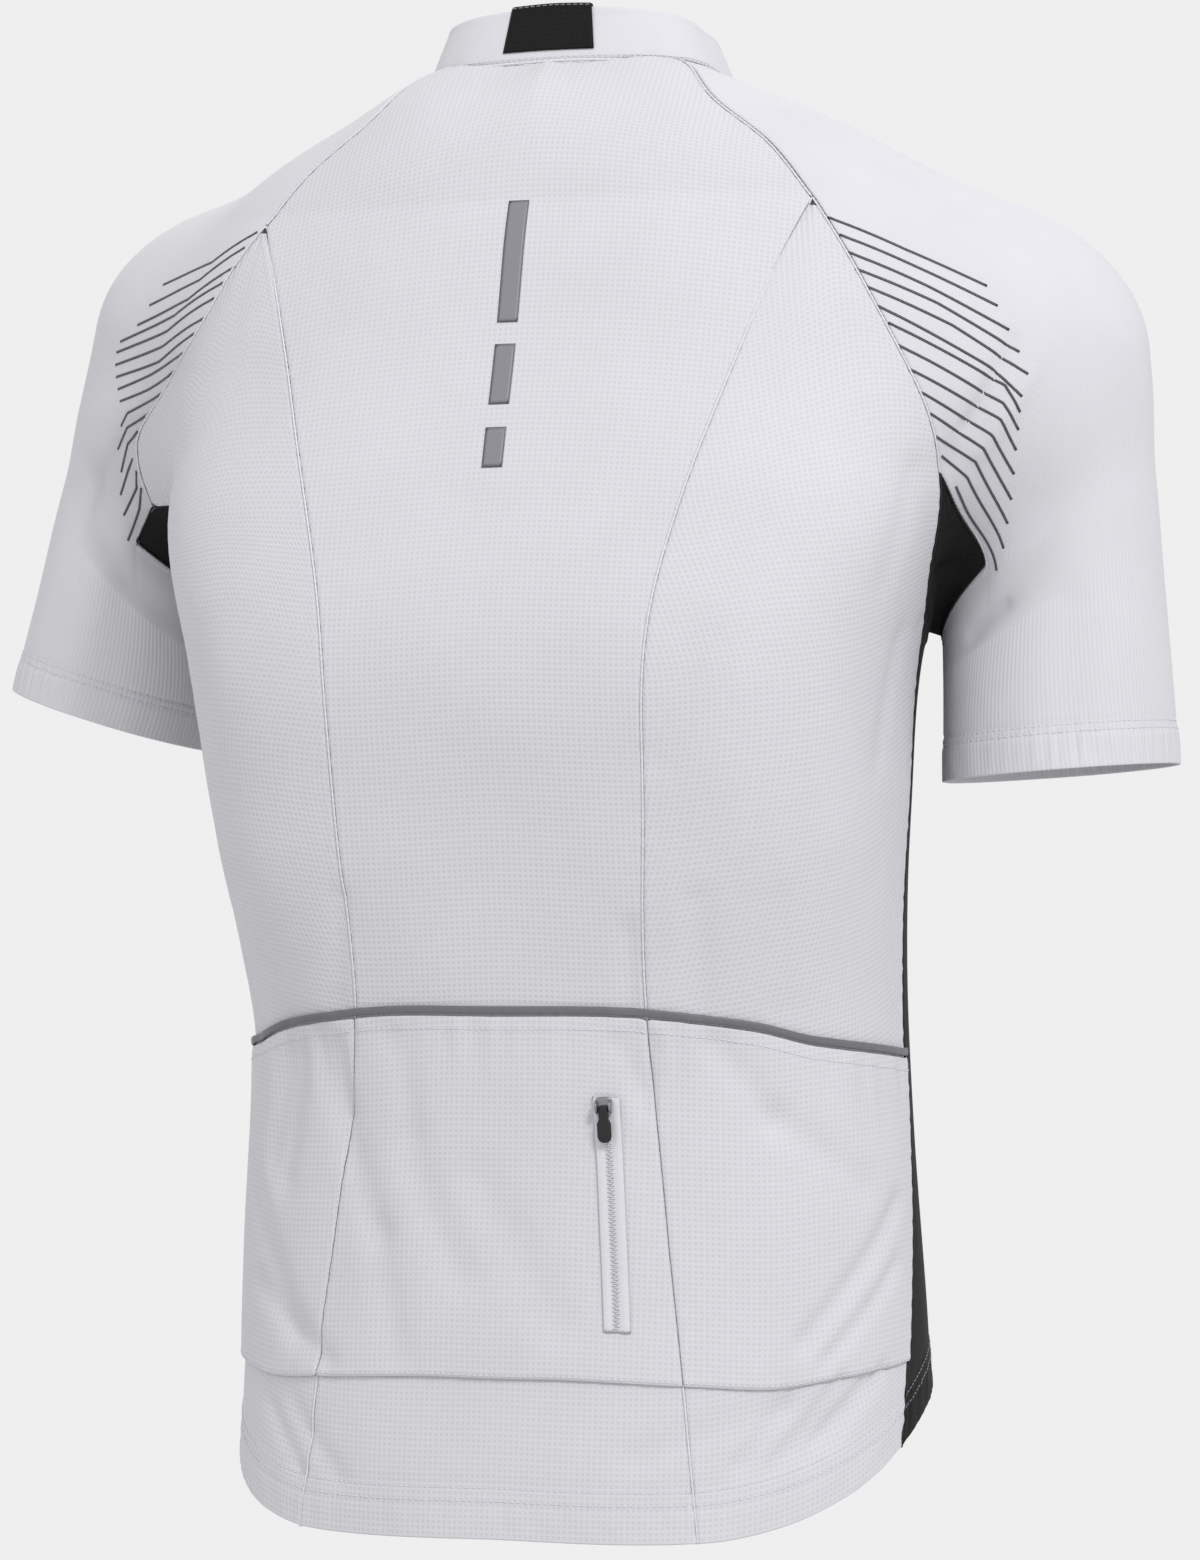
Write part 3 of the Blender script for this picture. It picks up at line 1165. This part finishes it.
def collar_point(angle, share):
    """Outer face of the stand collar at angles round the neck and shares of its height."""
    angle, share = np.broadcast_arrays(np.asarray(angle, float), np.asarray(share, float))
    seam = neck_point(angle)
    inward = unit(np.stack([-seam[..., 0], -seam[..., 1], np.zeros(angle.shape)], axis=-1))
    lean = column_at(COLLAR_HEIGHTS, "lean", np.abs(angle)) * share
    up = 0.3 + column_at(COLLAR_HEIGHTS, "height", np.abs(angle)) * share
    return seam + inward * lean[..., None] + up[..., None] * (0, 0, 1)


def collar_outward(angle, share):
    """Straight out of the collar: square to its run round the neck and to its rise."""
    run = collar_point(angle + 1, share) - collar_point(angle - 1, share)
    rise = collar_point(angle, np.ones_like(share)) - collar_point(angle, np.zeros_like(share))
    return unit(np.cross(rise, run))


class JERSEY_OT_collar(bpy.types.Operator):
    """Makes the stand collar and the dark tab over its top edge."""

    bl_idname = "jersey.collar"
    bl_label = "Collar"

    def execute(self, context):
        wall = context.scene.jersey.collar_thickness / MM
        end = 180 - neck_angle_at(FRONT_ZIP_WIDTH / 2 + COLLAR_FRONT_GAP)
        angle, share = np.meshgrid(np.linspace(end, -end, 260), edge_shares(26, step=2.2))
        way = collar_outward(angle, share)
        run = np.abs(angle) * 1.2
        height = 0.25 * np.sin(run / 9 + 2 * share) * (1 - share) + 0.12 * np.sin(run / 2.7 + 1) * np.exp(-share * 26 / 4)
        height = height - 0.35 * np.exp(-share * 26 / 2) - 0.3 * np.exp(-(((1 - share) * 26 - 5) / 1.2) ** 2)
        points, faces, corners = closed_sheet(collar_point(angle, share) + way * height[..., None], wall, normals=way)
        grid = collar_point(angle, share)
        plane = np.stack([length_along(grid, 1), length_along(grid, 0)], axis=-1)
        plane = np.concatenate([plane, plane[:, -1:]], axis=1).reshape(-1, 2)
        collar_face = collar_point(angle, share) + way * height[..., None]
        FACES["collar"], FACES["collar_ways"] = collar_face[3:], way[3:]
        piece = mesh_object("collar_cloth", [(points, faces, plane[corners])], MATERIALS["sleeve knit"])
        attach(piece, GARMENT)
        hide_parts("collar")

        half = neck_angle_at(TAB_WIDTH / 2)
        inside = -(wall + 0.35)
        route = np.array([
            (TAB_FOOT, 0.35, 0), (0.4, 0.35, 0), (0.7, 0.35, 0), (0.93, 0.4, 0), (1.0, 0.2, 0.5), (1.0, -0.9, 0.75),
            (1.0, inside + 0.2, 0.5), (0.93, inside, 0), (0.7, inside, 0), (TAB_INNER_FOOT, inside, 0),
        ])
        line = np.stack([np.interp(np.linspace(0, 9, 60), np.arange(10), route[:, k]) for k in range(3)], axis=-1)
        turn = np.linspace(half, -half, 28)
        angle, share = np.meshgrid(turn, line[:, 0])
        out, rise = line[:, 1][:, None, None], line[:, 2][:, None, None]
        grid = collar_point(angle, share) + collar_outward(angle, share) * out + rise * np.array([0, 0, 1.0])
        normals = unit(np.cross(np.gradient(grid, axis=0), np.gradient(grid, axis=1)))
        outer = grid + normals * 0.8 * np.sign(normals[10, 14, 1])
        points, faces, corners = closed_sheet(outer, 0.8)
        plane = np.stack([length_along(grid, 1), length_along(grid, 0)], axis=-1)
        plane = np.concatenate([plane, plane[:, -1:]], axis=1).reshape(-1, 2)
        FACES["collar_tab"] = outer
        FACES["collar_tab_ways"] = normals * np.sign(normals[10, 14, 1])
        piece = mesh_object("collar_tab_cloth", [(points, faces, plane[corners])], MATERIALS["black knit"])
        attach(piece, GARMENT)
        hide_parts("collar_tab")
        return {"FINISHED"}


def band_lines(s):
    """The parts of a side's back seam and side seam that lie beside the pocket."""
    parts = []
    for line, bottom, mouth in (
        (s["back"], column_at(POCKET_BOTTOM, "z", BACK_SEAM_ANGLE), column_at(POCKET_MOUTH, "z", BACK_SEAM_ANGLE)),
        (s["side_back"], POCKET_BOTTOM["z"][-1], POCKET_MOUTH["z"][-1]),
    ):
        heights = np.linspace(float(bottom), float(mouth), 60)
        parts.append(np.stack([np.interp(heights, line[:, 2], line[:, k]) for k in range(3)], axis=-1))
    return parts


def level_arc(heights, start, end, count=60):
    """A line round the torso at the heights of a table, between two points."""
    line = round_point(heights, np.linspace(angle_round(start), angle_round(end), count))
    line[0], line[-1] = start, end
    return line


def pocket_grid(name):
    """Guide grid of a pocket on the back panel under it."""
    (left_back, left_side), (right_back, right_side) = band_lines(SEAMS["left"]), band_lines(SEAMS["right"])
    left, right = {"left": (left_side, left_back), "centre": (left_back, right_back), "right": (right_back, right_side)}[name]
    bottom, top = level_arc(POCKET_BOTTOM, left[0], right[0]), level_arc(POCKET_MOUTH, left[-1], right[-1])
    across = edge_shares(length_along(top, 0)[-1])
    return patch(left, right, bottom, top, across, edge_shares(length_along(left, 0)[-1]))


def pocket_height(grid, distance):
    """A pocket's fullness and the small gathers under its mouth."""
    across = distance["left"] / (distance["left"] + distance["right"])
    up = distance["bottom"] / (distance["bottom"] + distance["top"])
    bulge = POCKET_BULGE * 4 * across * (1 - across) * np.sqrt(np.sin(np.pi * np.clip(up, 0, 1)))
    run = angle_round(grid) * 2.6
    wave = np.sin(run / 2.9) + 0.7 * np.sin(run / 1.83 + 1.1) + 0.5 * np.sin(run / 4.7 + 2.0)
    strength = 0.35 + 0.65 * (0.5 + 0.5 * np.sin(run / 17 + 0.8)) ** 2
    return bulge + 0.7 * strength * wave * np.exp(-((distance["top"] / 24) ** 2)) * (1 - np.exp(-distance["top"] / 3))


class JERSEY_OT_pockets(bpy.types.Operator):
    """Makes the three back pockets and the reflective edging along their mouths."""

    bl_idname = "jersey.pockets"
    bl_label = "Back pockets"

    def execute(self, context):
        wall = context.scene.jersey.cloth_thickness / MM
        for name in ("left", "centre", "right"):
            kinds = {"left": "seam", "right": "seam", "bottom": "seam"}
            cloth_piece(
                f"pocket_{name}_cloth", f"pocket_{name}", pocket_grid(name), kinds, MATERIALS["body knit"],
                wall, stand=POCKET_STAND, extra=pocket_height,
            )
        ends = [band_lines(SEAMS[side])[1][-1] for side in ("left", "right")]
        angle = np.linspace(angle_round(ends[0]), angle_round(ends[1]), 260)
        rise = np.linspace(0.3, 0.3 + BINDING_WIDTH, 9)[:, None]
        base = round_point(POCKET_MOUTH, angle)
        grid = onto_body(base[None] + rise[..., None] * np.array([0, 0, 1.0]))
        crown = np.sqrt(np.clip(1 - ((rise - 0.3) / BINDING_WIDTH * 2 - 1) ** 2, 0, 1))
        height = relief(grid) + 0.4 + BINDING_THICKNESS * (0.72 + 0.28 * crown) + 0.12 * np.sin(angle * 1.7)
        points, faces, corners = closed_sheet(grid + outward(grid) * height[..., None], BINDING_THICKNESS - 0.2)
        piece = mesh_object("pocket_binding_tape", [(points, faces, None)], MATERIALS["reflective tape"])
        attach(piece, GARMENT)
        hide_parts("pocket_binding")
        return {"FINISHED"}


class JERSEY_OT_prints(bpy.types.Operator):
    """Makes the reflective bars down the back and the thin lines on the sleeves, as films lying on the cloth."""

    bl_idname = "jersey.prints"
    bl_label = "Reflective bars and lines"

    def execute(self, context):
        bars = []
        for top, bottom, half in zip(*BACK_BARS.values()):
            x, z = np.meshgrid(np.linspace(half, -half, 7), np.linspace(bottom, top, int((top - bottom) / 2)))
            bars.append(film(on_torso(x, z, 1), 0.0))
        trim_object("back_bars_film", bars, MATERIALS["reflective film"])
        for name, lines in SLEEVE_LINES.items():
            s = SEAMS[name]
            seam = joined(s["raglan_lower"][::-1], s["raglan_upper"][::-1])
            parts = []
            for stops in zip(*lines.values()):
                middle = onto_body(at_shares(np.array(stops, float), np.linspace(0, 1, 44)))
                along = unit(np.gradient(middle, axis=0))
                side = np.cross(along, outward(middle))
                across = np.array([-0.5, 0, 0.5])[None, :, None] * LINE_WIDTH
                grid = onto_body(middle[:, None] + side[:, None] * across)
                parts.append(film(grid, seam_relief(away_from(grid, seam))))
            trim_object(f"sleeve_{name}_lines_film", parts, MATERIALS["print ink"])
        return {"FINISHED"}


def film(grid, seam_height):
    """A printed film on the cloth: its guide grid lifted to the cloth's relief and a little more."""
    height = relief(grid) + seam_height + 0.3
    points, faces, _ = closed_sheet(grid + outward(grid) * height[..., None], 0.16)
    return points, faces, None


class JERSEY_OT_stitching(bpy.types.Operator):
    """Sews the pieces: threads along the seams and rows of stitches on hems, cuffs, pockets, collar and tab."""

    bl_idname = "jersey.stitching"
    bl_label = "Seams and stitches"

    def execute(self, context):
        pale, dark, grey = [], [], []
        for s in SEAMS.values():
            for line in (s["back"], s["raglan_upper"], s["raglan_lower"], s["raglan_front"]):
                pale.append(thread_line(line))
            for line in (s["side_back"], s["side_front"], s["gusset_back"], s["gusset_front"], s["panel_top"]):
                dark.append(thread_line(line))
            dark.append(thread_line(joined(*s["arm_edge"])))
        round_neck = neck_point(np.linspace(-176, 176, 240)) + (0, 0, 0.1)
        pale.append(thread_line(round_neck, 0.85, -0.5))
        for node in ("back_centre", "back_left", "back_right", "front_left", "front_right", "side_left", "side_right"):
            rows = grey if node.startswith("side") else pale
            for inset in HEM_ROWS:
                rows.append(stitch_row(row_of(FACES[node], inset)))
        for node in ("sleeve_left", "sleeve_right"):
            for inset in CUFF_ROWS:
                line = row_of(FACES[node], inset, from_end=True)
                pale.append(stitch_row(np.concatenate([line, line[:1]])))
        for node in ("pocket_left", "pocket_centre", "pocket_right"):
            pale.append(stitch_row(row_of(FACES[node], 6, from_end=True), pitch=3.0))
            pale.append(stitch_row(row_of(FACES[node], 1.6), pitch=3.0))
        pale.append(stitch_row(FACES["collar"][0], FACES["collar_ways"][0], pitch=3.0, lift=0.0))
        tab, ways = FACES["collar_tab"], FACES["collar_tab_ways"]
        row = int(0.42 * len(tab))
        grey.append(stitch_row(tab[row], ways[row], pitch=3.0, length=2.4))
        trim_object("pale_stitching", pale, MATERIALS["thread"])
        trim_object("dark_stitching", dark, MATERIALS["dark thread"])
        trim_object("grey_stitching", grey, MATERIALS["grey thread"])
        return {"FINISHED"}


def pocket_face(x, z, lift):
    """Points of the middle pocket's outer face at sideways places and heights, moved out by a lift."""
    (left, _), (right, _) = band_lines(SEAMS["left"]), band_lines(SEAMS["right"])
    low = np.interp(z, left[:, 2], left[:, 0])
    high = np.interp(z, right[:, 2], right[:, 0])
    across = (low - x) / (low - high)
    foot, mouth = left[0, 2] + 2, left[-1, 2] + 2
    up = (z - foot) / (mouth - foot)
    bottom, top = level_arc(POCKET_BOTTOM, left[0], right[0]), level_arc(POCKET_MOUTH, left[-1], right[-1])
    guide = patch(left, right, bottom, top, across, up)
    width, height = low - high, mouth - foot
    distance = {"left": across * width, "right": (1 - across) * width, "bottom": up * height, "top": (1 - up) * height}
    stand = relief(guide) + POCKET_STAND + pocket_height(guide, distance)
    return guide + outward(guide) * (stand + lift)[..., None]


def ease_to_slider(points, out, seat):
    """Points of a zip drawn out or in to the plane a slider stands on, fading over its length."""
    reach = np.linalg.norm(points - seat, axis=-1)
    share = smooth_step((26 - reach) / 18)
    return points + (((seat - points) @ out) * share)[..., None] * out


def teeth(line, ways, pitch, width, lift):
    """Two rows of interlocked teeth down a zip, each one a short bar square to it, set a little to its own side."""
    side = np.cross(unit(np.gradient(line, axis=0)), ways)
    parts = []
    for way, shift in ((-1, 0.0), (1, pitch / 2)):
        row = trimmed(line + side * (way * 0.55), start=1 + shift, end=1)
        parts.append(stitch_row(row, ways, pitch, width, 1.05, lift, math.pi / 2))
    return parts


class JERSEY_OT_zips(bpy.types.Operator):
    """Makes the pocket zip and the full-length front zip, with their tapes and teeth."""

    bl_idname = "jersey.zips"
    bl_label = "Zips"

    def execute(self, context):
        place, across, up, out = slider_frame("pocket")
        seat = place - out * 0.35
        (top_x, top_z), (bottom_x, bottom_z) = POCKET_ZIP_TOP, POCKET_ZIP_BOTTOM
        share, sideways = np.meshgrid(np.linspace(0, 1, 70), np.linspace(1, -1, 17), indexing="ij")
        x = bottom_x + (top_x - bottom_x) * share + sideways * POCKET_ZIP_WIDTH / 2
        z = bottom_z + (top_z - bottom_z) * share
        face = pocket_face(x, z, TAPE_LIFT + TAPE_THICKNESS)
        face = ease_to_slider(face, out, seat)
        ways = outward(face)
        welt = 0.35 * np.exp(-(((np.abs(sideways) - 0.62) / 0.16) ** 2)) - 0.25 * np.exp(-((sideways / 0.22) ** 2))
        points, faces, _ = closed_sheet(face + ways * np.minimum(welt, 0.4)[..., None], TAPE_THICKNESS, normals=ways)
        tape = mesh_object("pocket_zip_tape", [(points, faces, None)], MATERIALS["tape"])
        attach(tape, GARMENT)
        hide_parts("pocket_zip")
        middle = 8
        trim_object(
            "pocket_zip_teeth", teeth(face[:64, middle], ways[:64, middle], TOOTH_PITCH, 2.6, 0.05), MATERIALS["coil"],
        )
        edge = FRONT_ZIP_WIDTH / 2
        heights = np.linspace(HEM_HEIGHTS["z"][-1], neck_point(180.0)[2], 260)
        middle = on_torso(np.zeros(260), heights, -1)
        middle = middle + outward(middle) * (0.4 * relief(middle)[:, None])
        lift = np.linspace(0.03, 1, 14)
        middle = np.concatenate([middle, collar_point(180.0, lift)])
        along = unit(np.gradient(middle, axis=0))
        ways = unit(np.cross(along, (1.0, 0, 0)))
        ways = ways * np.sign(-ways[:, 1:2])
        aside = np.linspace(-edge + 0.1, edge - 0.1, 9)
        face = middle[:, None] + aside[None, :, None] * np.array([1.0, 0, 0])
        points, faces, _ = closed_sheet(face, 1.1, normals=np.repeat(ways[:, None], 9, axis=1))
        tape = mesh_object("front_zip_tape", [(points, faces, None)], MATERIALS["tape"])
        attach(tape, GARMENT)
        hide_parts("front_zip")
        trim_object("front_zip_teeth", teeth(middle, ways, TOOTH_PITCH, 3.2, 0.02), MATERIALS["coil"])
        return {"FINISHED"}


def slider_frame(name):
    """Where a slider stands: its foot, its way across, its way up the zip and its way out."""
    joint = next(j for j in frame["joints"] if j["name"] == f"{name}_pull_hinge")
    axle = np.array(joint["pos_m"], float) / MM
    if name == "front":
        across = np.array([1.0, 0, 0])
        up = unit(collar_point(180.0, 1.0) - collar_point(180.0, 0.0))
        out = np.array([0, -up[2], up[1]])
    else:
        across = -unit(np.array(joint["axis"], float))
        out = outward(axle)
        out = unit(out - across * (out @ across))
        up = np.cross(out, across)
    return axle - out * AXIS_HEIGHT, across, up, out


class JERSEY_OT_sliders(bpy.types.Operator):
    """Makes both zip sliders and their pull tabs, which turn on the hinges of the solids."""

    bl_idname = "jersey.sliders"
    bl_label = "Sliders and pulls"

    def execute(self, context):
        for name, node in (("pocket", "pocket_zip"), ("front", "front_zip")):
            place, across, up, out = slider_frame(name)
            along = np.array(SLIDER["along"])
            wide = np.array(SLIDER["half_width"])
            rows = len(along)
            depth = np.full(rows, SLIDER_PLATE / 2)
            depth[[0, -1]] *= 0.6
            ways = [np.repeat(way[None], rows, axis=0) for way in (across, out)]
            middle = place + along[:, None] * up + out * SLIDER_PLATE / 2
            parts = [swept(middle, *ways, wide, depth, count=24, square=5)]
            rise = np.array([SLIDER_PLATE - 0.3, SLIDER_PLATE, 3.4, 4.5, SLIDER_HEIGHT - 0.1, SLIDER_HEIGHT])
            reach = np.array([3.2, 3.0, 2.5, 1.9, 1.2, 0.6])
            thick = np.array([0.6, 0.6, 0.6, 0.58, 0.5, 0.25])
            for sign in (-1, 1):
                middle = place + across * sign * 3.15 + rise[:, None] * out
                ways = [np.repeat(way[None], len(rise), axis=0) for way in (across, up)]
                parts.append(swept(middle, *ways, thick, reach, count=20, square=3.5))
            trim_object(f"{name}_slider_body", parts, MATERIALS["metal"], node=f"{node}_slider")
            down = np.array(PULL["down"])
            middle = place - down[:, None] * up + out * AXIS_HEIGHT
            ways = [np.repeat(way[None], len(down), axis=0) for way in (across, out)]
            shape = swept(middle, *ways, np.array(PULL["half_width"]), np.array(PULL["half_depth"]), count=28, square=4)
            trim_object(
                f"{name}_pull_tab", [shape], MATERIALS["rubber"], body=f"{name}_pull", node=f"{node}_pull",
            )
        return {"FINISHED"}


CLASSES = [
    JerseySettings, JERSEY_OT_back, JERSEY_OT_sides, JERSEY_OT_fronts, JERSEY_OT_sleeves, JERSEY_OT_collar,
    JERSEY_OT_pockets, JERSEY_OT_prints, JERSEY_OT_stitching, JERSEY_OT_zips, JERSEY_OT_sliders,
]


# Stage
CAMERA_TURN = 0.328
CAMERA_DISTANCE = 2445
CAMERA_ASIDE = 2.4
CAMERA_HEIGHT = -288.5
CAMERA_PITCH = -0.016
CAMERA_ROLL = -0.016
CAMERA_LENS = 118.5


class JERSEY_OT_stage(bpy.types.Operator):
    """Makes the floor, the lights and the camera."""

    bl_idname = "jersey.stage"
    bl_label = "Stage"

    def execute(self, context):
        scene = context.scene
        floor_mesh = bpy.data.meshes.new("floor")
        size, height = 3.0, -1.4
        floor_mesh.from_pydata(
            [(-size, -size, height), (size, -size, height), (size, size, height), (-size, size, height)], [], [(0, 1, 2, 3)],
        )
        floor_mesh.materials.append(plain_material("pale studio floor", linear("#cdcdcd"), 0.95, grain=400))
        floor = bpy.data.objects.new("floor", floor_mesh)
        scene.collection.objects.link(floor)

        world = bpy.data.worlds.new("studio")
        scene.world = world
        world.use_nodes = True
        world.node_tree.nodes["Background"].inputs["Color"].default_value = (1, 1, 1, 1)
        world.node_tree.nodes["Background"].inputs["Strength"].default_value = 0.86
        scene.view_settings.view_transform = "Standard"

        for name, place, size, power in LIGHTS:
            light = bpy.data.lights.new(name, "AREA")
            light.shape = "RECTANGLE"
            light.size, light.size_y, light.energy = size[0], size[1], power
            lamp = bpy.data.objects.new(name, light)
            lamp.location = place
            lamp.matrix_world = looking(place, LIGHT_TARGET)
            scene.collection.objects.link(lamp)

        towards = np.array([-math.sin(CAMERA_TURN), math.cos(CAMERA_TURN), 0])
        right = np.array([-math.cos(CAMERA_TURN), -math.sin(CAMERA_TURN), 0])
        up = np.array([0, 0, 1.0])
        eye = towards * CAMERA_DISTANCE + right * CAMERA_ASIDE + up * CAMERA_HEIGHT
        look = -towards * math.cos(CAMERA_PITCH) + up * math.sin(CAMERA_PITCH)
        lifted = up * math.cos(CAMERA_PITCH) + towards * math.sin(CAMERA_PITCH)
        across = right * math.cos(CAMERA_ROLL) + lifted * math.sin(CAMERA_ROLL)
        lifted = -right * math.sin(CAMERA_ROLL) + lifted * math.cos(CAMERA_ROLL)
        camera = bpy.data.objects.new("camera", bpy.data.cameras.new("camera"))
        camera.data.lens = CAMERA_LENS
        camera.data.sensor_width = 36
        camera.data.clip_start, camera.data.clip_end = 0.05, 50
        rows = [list(column) for column in zip(across, lifted, -look, eye * MM)]
        camera.matrix_world = Matrix(rows + [[0, 0, 0, 1]])
        scene.collection.objects.link(camera)
        scene.camera = camera
        return {"FINISHED"}


LIGHT_TARGET = (0, 0.05, -0.32)
LIGHTS = [
    ("key", (-1.9, 1.9, 1.8), (0.7, 0.7), 56),
    ("fill", (2.3, 2.0, 0.5), (2.0, 2.0), 5),
    ("front", (0.9, -2.4, 1.4), (1.6, 1.6), 18),
]


def looking(place, target):
    """A place and a turn that faces a target with the vertical kept upright."""
    place, target = np.array(place, float), np.array(target, float)
    back = unit(place - target)
    across = unit(np.cross((0, 0, 1), back))
    up = np.cross(back, across)
    return Matrix([list(column) for column in zip(across, up, back, place)] + [[0, 0, 0, 1]])


CLASSES.append(JERSEY_OT_stage)


class JERSEY_PT_panel(bpy.types.Panel):
    """Lists the steps of making the jersey."""

    bl_label = "Cycling Jersey"
    bl_space_type = "VIEW_3D"
    bl_region_type = "UI"
    bl_category = "Jersey"

    def draw(self, context):
        for kind in CLASSES:
            if issubclass(kind, bpy.types.Operator):
                self.layout.operator(kind.bl_idname)
        for name in JerseySettings.__annotations__:
            self.layout.prop(context.scene.jersey, name)


CLASSES.append(JERSEY_PT_panel)


def register():
    """Registers the classes and the settings."""
    for kind in CLASSES:
        bpy.utils.register_class(kind)
    bpy.types.Scene.jersey = bpy.props.PointerProperty(type=JerseySettings)


def unregister():
    """Takes back what register added."""
    del bpy.types.Scene.jersey
    for kind in reversed(CLASSES):
        bpy.utils.unregister_class(kind)


def main():
    """Makes the whole jersey and its stage."""
    register()
    make_materials(bpy.context.scene.jersey)
    bpy.ops.jersey.stage()
    bpy.ops.jersey.back()
    bpy.ops.jersey.sides()
    bpy.ops.jersey.fronts()
    bpy.ops.jersey.sleeves()
    bpy.ops.jersey.collar()
    bpy.ops.jersey.pockets()
    bpy.ops.jersey.prints()
    bpy.ops.jersey.stitching()
    bpy.ops.jersey.zips()
    bpy.ops.jersey.sliders()


if __name__ == "__main__":
    main()
